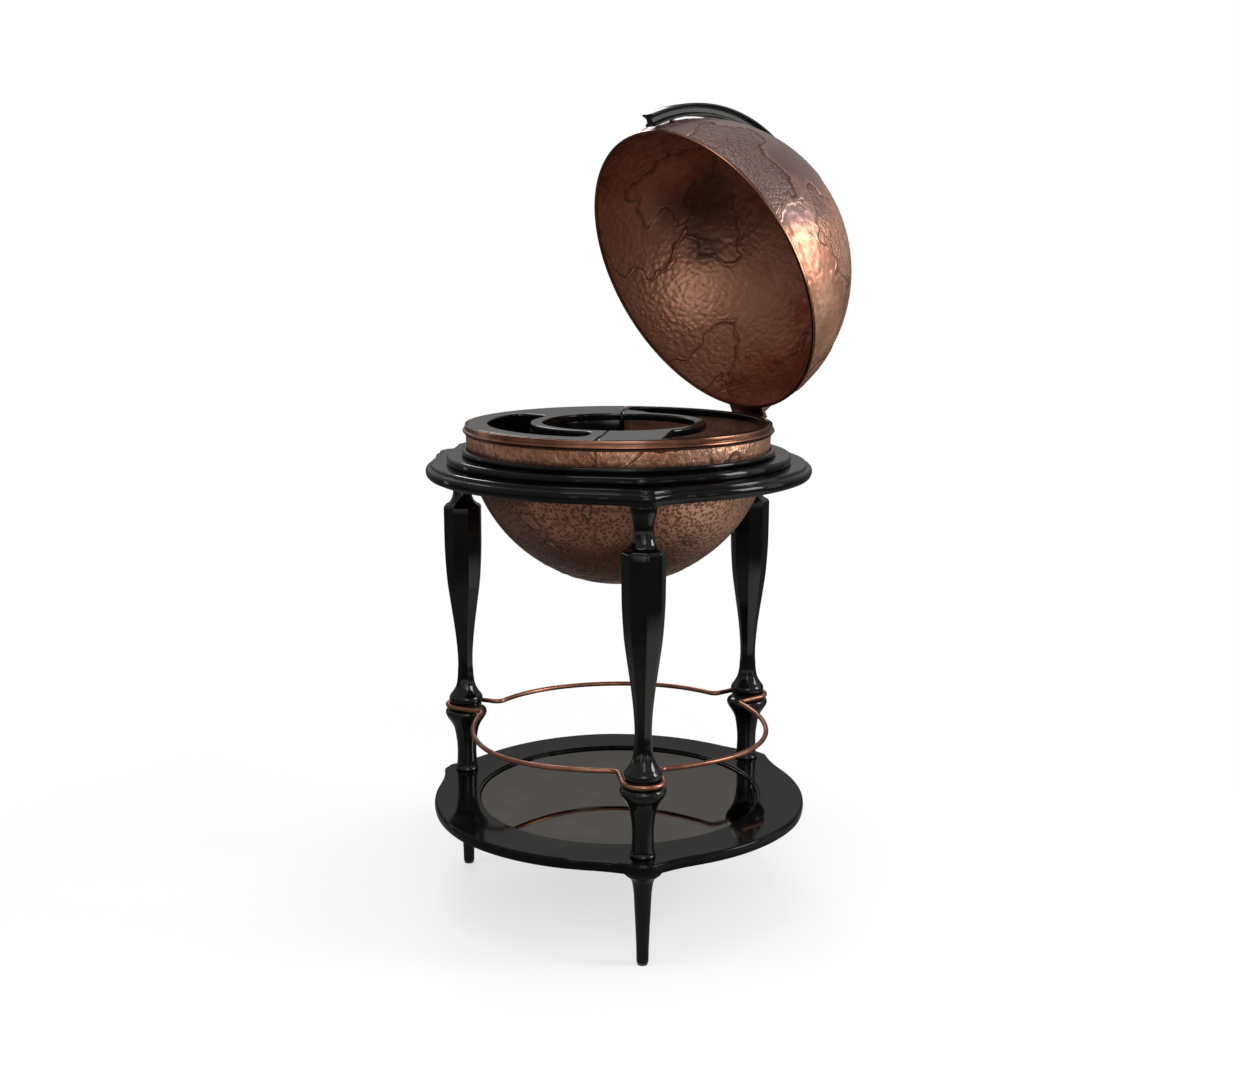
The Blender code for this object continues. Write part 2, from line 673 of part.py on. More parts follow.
def edge_rings(angles, lobe, depth, bottom, thickness, shares):
    """Rings of a moulded edge that follows a lobed outline."""
    rings = []
    for inset, rise in shares:
        height = bottom + thickness * rise
        ring = []
        for angle in angles:
            radius = lobed_radius(angle, *lobe) - depth * inset
            ring.append((radius * math.cos(angle), radius * math.sin(angle), height))
        rings.append(ring)
    return rings


def round_ring(angles, radius, height):
    """A level circle with its points at given angles."""
    return [(radius * math.cos(angle), radius * math.sin(angle), height) for angle in angles]


def bore_at_legs(board, low, high):
    """Cuts the rod holes of the three legs out of a board."""
    for index in range(len(LEG_NAMES)):
        angle = leg_angle(index)
        centre = (
            LEG_CIRCLE_RADIUS * math.cos(angle),
            LEG_CIRCLE_RADIUS * math.sin(angle),
            (low + high) / 2.0,
        )
        hole = rod_mesh("rod_hole", ROD_HOLE_RADIUS, high - low, SMALL_STEPS)
        carve(board, moved(hole, centre), "DIFFERENCE")


def add_shelf():
    """Moulded shelf with a stepped round recess, and the dark glass that lies in it."""
    lobe = (SHELF_ROUND_RADIUS, SHELF_CORNER_RADIUS, SHELF_SWELL)
    angles = lobe_angles(SHELF_CORNER_RADIUS)
    bottom = SHELF_TOP - SHELF_THICKNESS
    rings = edge_rings(angles, lobe, SHELF_EDGE_DEPTH, bottom, SHELF_THICKNESS, SHELF_EDGE_SHARES)
    rings.append(round_ring(angles, RECESS_RADIUS + LIP_WIDTH, SHELF_TOP))
    rings.append(round_ring(angles, RECESS_RADIUS + LIP_WIDTH, SHELF_TOP - LIP_DEPTH))
    rings.append(round_ring(angles, RECESS_RADIUS, SHELF_TOP - LIP_DEPTH))
    rings.append(round_ring(angles, RECESS_RADIUS, SHELF_TOP - RECESS_DEPTH))
    shelf = add_object("shelf_board", loft_mesh("shelf_board", rings), LACQUER)
    bore_at_legs(shelf, bottom - OVERRUN, SHELF_TOP + OVERRUN)
    low = SHELF_TOP - RECESS_DEPTH + GAP
    radius = RECESS_RADIUS - LOOSE_FIT
    glass = [(0.0, low), (radius, low), (radius, low + GLASS_THICKNESS), (0.0, low + GLASS_THICKNESS)]
    add_object("shelf_glass", turned_mesh("shelf_glass", glass, LARGE_STEPS), DARK_GLASS)


def add_top_rings():
    """Moulded apron ring on the legs, the step ring on it, and the bead that seats the bowl."""
    for name, lobe, depth, bottom, thickness, shares in (
        (
            "apron_ring",
            (APRON_ROUND_RADIUS, APRON_CORNER_RADIUS, APRON_SWELL),
            APRON_EDGE_DEPTH,
            APRON_BOTTOM,
            APRON_THICKNESS,
            APRON_EDGE_SHARES,
        ),
        (
            "step_ring",
            (STEP_ROUND_RADIUS, STEP_CORNER_RADIUS, STEP_SWELL),
            STEP_EDGE_DEPTH,
            STEP_BOTTOM,
            STEP_THICKNESS,
            STEP_EDGE_SHARES,
        ),
    ):
        angles = lobe_angles(lobe[1])
        rings = [round_ring(angles, RING_HOLE_RADIUS, bottom)]
        rings += edge_rings(angles, lobe, depth, bottom, thickness, shares)
        rings.append(round_ring(angles, RING_HOLE_RADIUS, bottom + thickness))
        ring = add_object(name, loft_mesh(name, rings, closed=True), LACQUER)
        if name == "apron_ring":
            bore_at_legs(ring, APRON_BOTTOM - OVERRUN, APRON_BOTTOM + STUD_RING_DEPTH)
    height = STEP_TOP + GAP + SEAT_BEAD_RADIUS
    radius = globe_radius_at(height) + GAP + GAP + SEAT_BEAD_RADIUS
    section = []
    for k in range(SEAT_BEAD_SIDES):
        turn = 2.0 * math.pi * k / SEAT_BEAD_SIDES
        out = SEAT_BEAD_RADIUS * math.cos(turn)
        section.append((radius + out, height + SEAT_BEAD_RADIUS * math.sin(turn)))
    add_object("seat_bead", turned_mesh("seat_bead", section, LARGE_STEPS, ring=True), LACQUER)


def dome_profile(radius, centre, start, end):
    """Points on a round profile between two elevations above its equator."""
    points = []
    for k in range(DOME_STEPS + 1):
        rise = start + (end - start) * k / DOME_STEPS
        points.append((max(radius * math.cos(rise), 0.0), centre + radius * math.sin(rise)))
    return points


def add_bowl():
    """Hammered lower half of the globe, as a copper shell with a short upright lip."""
    inner = GLOBE_RADIUS - SHEET
    profile = dome_profile(GLOBE_RADIUS, GLOBE_CENTRE, -math.pi / 2.0, 0.0)
    profile += [(GLOBE_RADIUS, BOWL_LIP), (inner, BOWL_LIP)]
    profile += dome_profile(inner, GLOBE_CENTRE, 0.0, -math.pi / 2.0)
    add_object("bowl", turned_mesh("bowl", profile, LARGE_STEPS), COPPER)


def add_rim_band():
    """Smooth copper band round the bowl's mouth, with a rolled bead."""
    height = BAND_TOP - BAND_BOTTOM
    profile = [(BAND_INNER_RADIUS, BAND_BOTTOM)]
    profile += [
        (BAND_OUTER_RADIUS + BAND_BEAD_BULGE * bulge, BAND_BOTTOM + height * rise)
        for rise, bulge in BAND_PROFILE_SHARES
    ]
    profile += [(BAND_OUTER_RADIUS - BAND_EDGE_EASE, BAND_TOP), (BAND_INNER_RADIUS, BAND_TOP)]
    add_object("rim_band", turned_mesh("rim_band", profile, LARGE_STEPS, ring=True), COPPER)


def polar(radius, angle):
    """A plan point."""
    return (radius * math.cos(angle), radius * math.sin(angle))


def arc_plan(radius, start, end):
    """Plan points along an arc, both ends included."""
    steps = max(1, math.ceil(abs(end - start) / ARC_STEP_ANGLE))
    return [polar(radius, start + (end - start) * k / steps) for k in range(steps + 1)]


def rounded_sector(inner, outer, start, end, corner):
    """Plan outline of a curved pocket with round corners."""
    quarter = math.pi / 2.0
    corners = (
        (outer - corner, start, 1.0, (2.0, 1.0)),
        (outer - corner, end, -1.0, (1.0, 0.0)),
        (inner + corner, end, -1.0, (0.0, -1.0)),
        (inner + corner, start, 1.0, (-1.0, -2.0)),
    )
    outline = []
    for radius, edge, inward, (first, last) in corners:
        for k in range(SMALL_STEPS // 2 + 1):
            turn = quarter * (first + (last - first) * 2.0 * k / SMALL_STEPS)
            reach = radius + corner * math.sin(turn)
            outline.append(polar(reach, edge + (inward * corner + corner * math.cos(turn)) / reach))
        if radius > (inner + outer) / 2.0 and inward > 0.0:
            outline += arc_plan(outer, start + corner / outer, end - corner / outer)[1:-1]
        if radius < (inner + outer) / 2.0 and inward < 0.0:
            outline += arc_plan(inner, end - corner / inner, start + corner / inner)[1:-1]
    return outline


def bay_outline():
    """Plan outline of the large bottle opening, with a slanted front end and a curved back tip."""
    width = BAY_OUTER_RADIUS - POCKET_INNER_RADIUS
    swing = BAY_BACK_OUTER_ANGLE - BAY_BACK_INNER_ANGLE
    outline = arc_plan(BAY_OUTER_RADIUS, BAY_FRONT_OUTER_ANGLE, BAY_BACK_OUTER_ANGLE)
    for reach, lead in BAY_BACK_TIP_SHARES:
        outline.append(polar(POCKET_INNER_RADIUS + width * reach, BAY_BACK_OUTER_ANGLE + swing * lead))
    outline += arc_plan(POCKET_INNER_RADIUS, BAY_BACK_INNER_ANGLE, BAY_FRONT_INNER_ANGLE)
    return outline


def board_outline(start, end):
    """Plan outline of a serving board between two seams."""
    start += SEAM_HALF_ANGLE
    end -= SEAM_HALF_ANGLE
    return arc_plan(BOARD_RADIUS, start, end) + arc_plan(WELL_RADIUS, end, start)


def pocket_outline(grow=0.0):
    """Plan outline of the curved pocket, grown outwards by a wall where one is given."""
    middle = (POCKET_INNER_RADIUS + POCKET_OUTER_RADIUS) / 2.0
    return rounded_sector(
        POCKET_INNER_RADIUS - grow,
        POCKET_OUTER_RADIUS + grow,
        POCKET_START_ANGLE - grow / middle,
        POCKET_END_ANGLE + grow / middle,
        POCKET_CORNER_RADIUS + grow,
    )


def add_boards():
    """The two serving boards that meet at the seams, with the pocket and the bottle opening cut out."""
    full_turn = 2.0 * math.pi
    left = board_outline(BACK_SEAM_ANGLE, FRONT_SEAM_ANGLE + full_turn)
    board = add_object("tray_left", slab_mesh("tray_left", left, BOARD_BOTTOM, BOARD_TOP), LACQUER)
    cut = slab_mesh("pocket_cut", pocket_outline(), BOARD_BOTTOM - OVERRUN, BOARD_TOP + OVERRUN)
    carve(board, cut, "DIFFERENCE")
    right = board_outline(FRONT_SEAM_ANGLE, BACK_SEAM_ANGLE)
    board = add_object("tray_right", slab_mesh("tray_right", right, BOARD_BOTTOM, BOARD_TOP), LACQUER)
    cut = slab_mesh("bay_cut", bay_outline(), BOARD_BOTTOM - OVERRUN, BOARD_TOP + OVERRUN)
    carve(board, cut, "DIFFERENCE")


def add_pocket_liner():
    """Open-topped tray for glasses under the curved pocket."""
    floor = UNDER_BOARDS - POCKET_DEPTH
    liner = slab_mesh("pocket_liner", pocket_outline(LINER_WALL), floor, UNDER_BOARDS)
    liner = add_object("pocket_liner", liner, LACQUER)
    hollow = slab_mesh("pocket_hollow", pocket_outline(), floor + LINER_WALL, UNDER_BOARDS + OVERRUN)
    carve(liner, hollow, "DIFFERENCE")


def inside_globe(height):
    """Largest radius that clears the bowl's inside at a height."""
    return globe_radius_at(height, GLOBE_RADIUS - SHEET) - LOOSE_FIT


def add_wells():
    """Floor and half-round wall of the centre well, and the floor of the bottle bay."""
    full_turn = 2.0 * math.pi
    top = WELL_FLOOR_HEIGHT + WELL_FLOOR_THICKNESS
    profile = [
        (0.0, WELL_FLOOR_HEIGHT),
        (inside_globe(WELL_FLOOR_HEIGHT), WELL_FLOOR_HEIGHT),
        (inside_globe(top), top),
        (0.0, top),
    ]
    add_object("well_floor", turned_mesh("well_floor", profile, LARGE_STEPS), LACQUER)
    outer = WELL_RADIUS + WELL_WALL
    clear = (DIVIDER_THICKNESS / 2.0 + GAP) / WELL_RADIUS
    start = BACK_SEAM_ANGLE + clear
    end = FRONT_SEAM_ANGLE + full_turn - clear
    wall = arc_plan(outer, start, end) + arc_plan(WELL_RADIUS, end, start)
    add_object("well_wall", slab_mesh("well_wall", wall, top + GAP, UNDER_BOARDS), LACQUER)
    inner = outer + GAP
    start = FRONT_SEAM_ANGLE + clear
    end = BACK_SEAM_ANGLE - clear
    floor = arc_plan(inside_globe(BAY_FLOOR_HEIGHT), start, end) + arc_plan(inner, end, start)
    low = BAY_FLOOR_HEIGHT
    add_object("bay_floor", slab_mesh("bay_floor", floor, low, low + BAY_FLOOR_THICKNESS), LACQUER)


def add_dividers():
    """Upright boards under the two seams, shaped to the inside of the bowl."""
    inner = WELL_RADIUS + WELL_WALL + GAP
    for name, angle in (("divider_front", FRONT_SEAM_ANGLE), ("divider_back", BACK_SEAM_ANGLE)):
        heights = [
            DIVIDER_FOOT_HEIGHT + (GLOBE_CENTRE - DIVIDER_FOOT_HEIGHT) * k / DOME_STEPS
            for k in range(DOME_STEPS + 1)
        ]
        outline = [(inner, UNDER_BOARDS), (inner, DIVIDER_FOOT_HEIGHT)]
        outline += [(inside_globe(height), height) for height in heights]
        outline.append((inside_globe(GLOBE_CENTRE), UNDER_BOARDS))
        mesh = slab_mesh(name, outline, -DIVIDER_THICKNESS / 2.0, DIVIDER_THICKNESS / 2.0)
        mesh.transform(Matrix.Rotation(angle, 4, "Z") @ Matrix.Rotation(math.pi / 2.0, 4, "X"))
        add_object(name, mesh, LACQUER)


def add_lid(lid):
    """Hammered dome and the flat hoop that stiffens its mouth."""
    start = math.asin((DOME_BOTTOM - LID_CENTRE) / LID_RADIUS)
    inner = LID_RADIUS - SHEET
    inner_start = math.asin((DOME_BOTTOM - LID_CENTRE) / inner)
    profile = dome_profile(LID_RADIUS, LID_CENTRE, math.pi / 2.0, start)
    profile += dome_profile(inner, LID_CENTRE, inner_start, math.pi / 2.0)
    add_object("lid_dome", turned_mesh("lid_dome", profile, LARGE_STEPS), COPPER, lid)
    hoop = [
        (LID_RADIUS - HOOP_WIDTH, HOOP_BOTTOM),
        (LID_RADIUS, HOOP_BOTTOM),
        (LID_RADIUS, HOOP_TOP),
        (LID_RADIUS - HOOP_WIDTH, HOOP_TOP),
    ]
    add_object("lid_hoop", turned_mesh("lid_hoop", hoop, LARGE_STEPS, ring=True), COPPER, lid)


def add_meridian_arc(lid):
    """I-shaped arc over the lid that serves as its handle, on short posts."""
    inner = ARC_INNER_RADIUS
    outer = ARC_OUTER_RADIUS
    wide = ARC_WIDTH / 2.0
    web = ARC_WEB_WIDTH / 2.0
    half_section = ((wide, inner), (wide, inner + ARC_FLANGE), (web, inner + ARC_FLANGE))
    half_section += ((web, outer - ARC_FLANGE), (wide, outer - ARC_FLANGE), (wide, outer))
    section = list(half_section) + [(-x, radius) for x, radius in reversed(half_section)]
    rings = []
    for k in range(ARC_STEPS + 1):
        rise = ARC_START_ANGLE + (ARC_END_ANGLE - ARC_START_ANGLE) * k / ARC_STEPS
        rings.append([(x, -r * math.cos(rise), LID_CENTRE + r * math.sin(rise)) for x, r in section])
    add_object("meridian_arc", loft_mesh("meridian_arc", rings), LACQUER, lid)
    length = ARC_INNER_RADIUS - LID_RADIUS - GAP - GAP
    for number, rise in enumerate(POST_ANGLES, start=1):
        post = rod_mesh("arc_post", POST_RADIUS, length, SMALL_STEPS)
        middle = LID_RADIUS + GAP + length / 2.0
        tilt = Matrix.Rotation(math.pi / 2.0 - rise, 4, "X")
        post.transform(
            Matrix.Translation((0.0, -middle * math.cos(rise), LID_CENTRE + middle * math.sin(rise))) @ tilt
        )
        add_object(f"arc_post_{number}", post, COPPER, lid)


def knuckle_span(number):
    """Where a hinge knuckle begins and ends along the pin."""
    pitch = HINGE_WIDTH / KNUCKLE_COUNT
    low = -HINGE_WIDTH / 2.0 + number * pitch
    return low + KNUCKLE_GAP / 2.0, low + pitch - KNUCKLE_GAP / 2.0


def barrel_mesh(span):
    """One knuckle's barrel."""
    barrel = rod_mesh("barrel", BARREL_RADIUS, span[1] - span[0], SMALL_STEPS, axis="X")
    return moved(barrel, ((span[0] + span[1]) / 2.0, HINGE_Y, HINGE_Z))


def globe_cutter(radius, centre):
    """A ball that hollows a hinge part to the globe's curve."""
    build = bmesh.new()
    bmesh.ops.create_uvsphere(
        build,
        u_segments=LARGE_STEPS * 2,
        v_segments=LARGE_STEPS,
        radius=radius,
        matrix=Matrix.Translation((0.0, 0.0, centre)),
    )
    return mesh_from(build, "globe_cutter")


def pin_hole():
    """Bore of the hinge pin, through every knuckle."""
    bore = rod_mesh("pin_hole", PIN_HOLE_RADIUS, HINGE_WIDTH + 2.0 * OVERRUN, SMALL_STEPS, axis="X")
    return moved(bore, (0.0, HINGE_Y, HINGE_Z))


def add_hinge_bracket():
    """Fixed half of the hinge: a saddle on the bowl, three knuckles, and a lip that stops the lid."""
    half = HINGE_WIDTH / 2.0
    saddle = block_mesh(
        "hinge_bracket", (-half, GLOBE_RADIUS - OVERRUN, BRACKET_BOTTOM), (half, BRACKET_FACE, BRACKET_TOP)
    )
    bracket = add_object("hinge_bracket", saddle, BRONZE)
    plate_low = (-half, BRACKET_FACE - GAP, STOP_PLATE_BOTTOM)
    carve(bracket, block_mesh("stop_plate", plate_low, (half, STOP_LIP_OUTER, STOP_PLATE_TOP)), "UNION")
    lip_low = (-half, STOP_LIP_INNER, STOP_PLATE_BOTTOM)
    carve(bracket, block_mesh("stop_lip", lip_low, (half, STOP_LIP_OUTER, STOP_LIP_TOP)), "UNION")
    for number in range(0, KNUCKLE_COUNT, 2):
        span = knuckle_span(number)
        web_low = (span[0], HINGE_Y - KNUCKLE_WEB_THICKNESS / 2.0, STOP_PLATE_BOTTOM)
        web_high = (span[1], HINGE_Y + KNUCKLE_WEB_THICKNESS / 2.0, HINGE_Z)
        carve(bracket, block_mesh("web", web_low, web_high), "UNION")
        carve(bracket, barrel_mesh(span), "UNION")
    carve(bracket, globe_cutter(GLOBE_RADIUS + GAP, GLOBE_CENTRE), "DIFFERENCE")
    carve(bracket, pin_hole(), "DIFFERENCE")


def add_hinge_leaf(lid):
    """Moving half of the hinge: a saddle on the lid, an angled plate and two knuckles below it."""
    half = HINGE_WIDTH / 2.0
    front = HINGE_Y - KNUCKLE_WEB_THICKNESS / 2.0
    back = HINGE_Y + KNUCKLE_WEB_THICKNESS / 2.0
    section = [
        (LID_RADIUS - OVERRUN, LEAF_BOTTOM),
        (front, LEAF_BOTTOM),
        (front, LEAF_PLATE_BOTTOM),
        (back, LEAF_PLATE_BOTTOM),
        (back, LEAF_PLATE_TOP),
        (LEAF_FACE, LEAF_PLATE_TOP),
        (LEAF_FACE, LEAF_TOP),
        (LID_RADIUS - OVERRUN, LEAF_TOP),
    ]
    bar = loft_mesh("hinge_leaf", [[(x, y, z) for y, z in section] for x in (-half, half)])
    leaf = add_object("hinge_leaf", bar, BRONZE)
    for number in range(1, KNUCKLE_COUNT, 2):
        span = knuckle_span(number)
        arm_high = (span[1], back - GAP, LEAF_PLATE_BOTTOM + GAP)
        carve(leaf, block_mesh("arm", (span[0], front + GAP, HINGE_Z), arm_high), "UNION")
        carve(leaf, barrel_mesh(span), "UNION")
    carve(leaf, globe_cutter(LID_RADIUS + GAP, LID_CENTRE), "DIFFERENCE")
    carve(leaf, pin_hole(), "DIFFERENCE")
    leaf.parent = lid


def add_hinge_fasteners(lid):
    """Hinge pin with its heads, and the round-headed screws of both halves."""
    half = HINGE_WIDTH / 2.0 + GAP
    profile = [
        (0.0, -half - PIN_HEAD_LENGTH),
        (PIN_HEAD_RADIUS, -half - PIN_HEAD_LENGTH),
        (PIN_HEAD_RADIUS, -half),
        (PIN_RADIUS, -half),
        (PIN_RADIUS, half),
        (PIN_HEAD_RADIUS, half),
        (PIN_HEAD_RADIUS, half + PIN_HEAD_LENGTH),
        (0.0, half + PIN_HEAD_LENGTH),
    ]
    pin = turned_mesh("hinge_pin", profile, SMALL_STEPS)
    pin.transform(
        Matrix.Translation((0.0, HINGE_Y, HINGE_Z)) @ Matrix.Rotation(math.pi / 2.0, 4, "Y")
    )
    add_object("hinge_pin", pin, BRONZE)
    low_middle = (BRACKET_BOTTOM + STOP_PLATE_BOTTOM) / 2.0
    high_middle = (LEAF_PLATE_TOP + LEAF_TOP) / 2.0
    for prefix, face, height, parent in (
        ("bracket_screw", BRACKET_FACE, low_middle, None),
        ("leaf_screw", LEAF_FACE, high_middle, lid),
    ):
        for side, sign in (("left", -1.0), ("right", 1.0)):
            head = rod_mesh("screw_head", SCREW_HEAD_RADIUS, SCREW_HEAD_HEIGHT, SMALL_STEPS)
            head.transform(
                Matrix.Translation(
                    (sign * SCREW_SPACING / 2.0, face + GAP + SCREW_HEAD_HEIGHT / 2.0, height)
                )
                @ Matrix.Rotation(math.pi / 2.0, 4, "X")
            )
            add_object(f"{prefix}_{side}", head, BRONZE, parent)


def hang_lid_parts(lid):
    """Moves what is modelled with the lid closed into the hinge's own frame."""
    for piece in lid.children:
        piece.location = (0.0, -HINGE_Y, -HINGE_Z)


def centre_in_plan():
    """Hangs every piece on the globe's axis, which stands in front of the middle of the plan."""
    pieces = [piece for piece in bpy.context.scene.objects if piece.parent is None]
    axis = bpy.data.objects.new("globe_axis", None)
    bpy.context.scene.collection.objects.link(axis)
    axis.location = (0.0, -PLAN_MIDDLE_Y, 0.0)
    for piece in pieces:
        piece.parent = axis


def main():
    """Builds every piece of the cabinet, with the lid open."""
    for old in list(bpy.data.objects):
        bpy.data.objects.remove(old)
    lid = bpy.data.objects.new("lid_hinge", None)
    bpy.context.scene.collection.objects.link(lid)
    lid.location = (0.0, HINGE_Y, HINGE_Z)
    lid.rotation_euler = (-LID_OPEN_ANGLE, 0.0, 0.0)
    add_feet()
    add_tie_rods()
    add_leg_bases()
    add_leg_shafts()
    add_rail()
    add_shelf()
    add_top_rings()
    add_bowl()
    add_rim_band()
    add_boards()
    add_pocket_liner()
    add_wells()
    add_dividers()
    add_hinge_bracket()
    add_lid(lid)
    add_meridian_arc(lid)
    add_hinge_leaf(lid)
    add_hinge_fasteners(lid)
    hang_lid_parts(lid)
    centre_in_plan()
    bpy.context.view_layer.update()


main()
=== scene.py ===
"""Dresses the globe drinks cabinet: hammered copper, black lacquer, a studio and a camera.

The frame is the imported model: +Z up, front towards -Y, metres. Round work is shaped about the
globe's upright axis. Lid work is shaped with the lid closed and then turned to where it rests,
open on its stop.
"""

from __future__ import annotations

import json
import logging
import math
from dataclasses import dataclass, fields
from enum import Enum
from typing import Callable, Iterable, Sequence

import bmesh
import bpy
from mathutils import Matrix, Vector

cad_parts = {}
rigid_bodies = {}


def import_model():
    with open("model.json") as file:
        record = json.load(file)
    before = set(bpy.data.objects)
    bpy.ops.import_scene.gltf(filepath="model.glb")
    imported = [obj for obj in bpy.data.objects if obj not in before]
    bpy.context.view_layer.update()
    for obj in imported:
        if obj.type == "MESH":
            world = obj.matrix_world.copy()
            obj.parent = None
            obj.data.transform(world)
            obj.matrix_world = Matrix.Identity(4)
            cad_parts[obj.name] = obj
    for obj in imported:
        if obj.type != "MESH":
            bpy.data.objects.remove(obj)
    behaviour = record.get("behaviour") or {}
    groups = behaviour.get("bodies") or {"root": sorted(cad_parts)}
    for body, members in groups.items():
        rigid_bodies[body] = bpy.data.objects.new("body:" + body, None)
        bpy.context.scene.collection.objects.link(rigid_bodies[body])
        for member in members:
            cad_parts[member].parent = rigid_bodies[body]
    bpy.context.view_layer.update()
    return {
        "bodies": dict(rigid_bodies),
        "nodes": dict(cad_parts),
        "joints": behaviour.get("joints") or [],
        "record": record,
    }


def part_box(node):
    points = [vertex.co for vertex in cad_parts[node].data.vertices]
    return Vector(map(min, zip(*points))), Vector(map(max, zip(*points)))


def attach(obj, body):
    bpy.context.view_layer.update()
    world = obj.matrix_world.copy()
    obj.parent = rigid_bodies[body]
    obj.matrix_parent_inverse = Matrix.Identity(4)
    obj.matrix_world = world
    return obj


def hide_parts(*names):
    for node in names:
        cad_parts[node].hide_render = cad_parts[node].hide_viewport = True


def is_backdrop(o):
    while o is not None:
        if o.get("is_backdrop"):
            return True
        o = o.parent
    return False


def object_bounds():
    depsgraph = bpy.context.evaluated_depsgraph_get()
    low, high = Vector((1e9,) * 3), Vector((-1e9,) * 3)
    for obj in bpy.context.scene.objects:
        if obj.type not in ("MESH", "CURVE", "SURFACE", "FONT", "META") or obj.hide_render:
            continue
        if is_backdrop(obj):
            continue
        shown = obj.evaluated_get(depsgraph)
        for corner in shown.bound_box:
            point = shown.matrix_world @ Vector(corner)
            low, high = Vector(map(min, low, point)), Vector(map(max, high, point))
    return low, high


LOG = logging.getLogger("globe_cabinet")

Plan = tuple[float, float]
Place = tuple[float, float, float]
Colour = tuple[float, float, float]
Span = tuple[float, float]

FULL_TURN = 2.0 * math.pi
QUARTER_TURN = math.pi / 2.0
SMALLEST = 1e-7
MERGE_DISTANCE = 1e-6
CAD_MERGE_DISTANCE = 1e-5

CORNER = math.radians(40.0)
STRAIGHT = math.radians(1.0)
LARGEST_EASE = 0.4
SHARP = math.radians(34.0)
LEVEL = 0.9999
LEVEL_SHARP = math.radians(3.0)
PLATE_SHARP = math.radians(50.0)
PLATE_EDGE_STEPS = 3
CAD_FLAT = math.radians(1.0)
CAD_CORNER = math.radians(35.0)
CAD_SHARP = math.radians(32.0)
CAD_EDGE_STEPS = 2

NOISE_MEAN = 0.5
COAST_DETAIL = 4.0
COAST_ROUGHNESS = 0.52
COAST_DISTORTION = 0.35
LAND_RISE = (-0.012, 0.016)
SHORE_FALL = (0.003, 0.016)
SEAT_FADE = 0.003
QUIET_CORE = 0.8


class Body(Enum):
    """The moving and fixed bodies of the cabinet."""

    STAND = "stand"
    LID = "lid"


class Slot(Enum):
    """The record's material slots."""

    LACQUER = "black_lacquer"
    COPPER = "copper"
    GLASS = "dark_glass"
    STEEL = "steel"
    BRONZE = "dark_bronze"
    FELT = "felt"


@dataclass(frozen=True)
class Cloud:
    """A cloudy noise: cycles a metre, levels of detail and seed."""

    scale: float
    detail: float
    seed: float = 0.0


class Value:
    """A node's output that takes part in Python arithmetic."""

    def __init__(self, graph: "Graph", socket: bpy.types.NodeSocket) -> None:
        """Wraps a socket.

        Args:
            graph: The graph that the socket belongs to.
            socket: The output socket.
        """
        self.graph = graph
        self.socket = socket

    def _math(self, operation: str, first: "Value | float", second: "Value | float") -> "Value":
        """One Math node on two values."""
        return self.graph.add("ShaderNodeMath", {"operation": operation}, {0: first, 1: second})

    def __add__(self, other: "Value | float") -> "Value":
        """Sum."""
        return self._math("ADD", self, other)

    __radd__ = __add__

    def __sub__(self, other: "Value | float") -> "Value":
        """Difference."""
        return self._math("SUBTRACT", self, other)

    def __rsub__(self, other: "Value | float") -> "Value":
        """Difference from a number."""
        return self._math("SUBTRACT", other, self)

    def __mul__(self, other: "Value | float") -> "Value":
        """Product."""
        return self._math("MULTIPLY", self, other)

    __rmul__ = __mul__

    def __abs__(self) -> "Value":
        """Size without its sign."""
        return self._math("ABSOLUTE", self, 0.0)

    def least(self, other: "Value | float") -> "Value":
        """The smaller of two values."""
        return self._math("MINIMUM", self, other)

    def most(self, other: "Value | float") -> "Value":
        """The larger of two values."""
        return self._math("MAXIMUM", self, other)


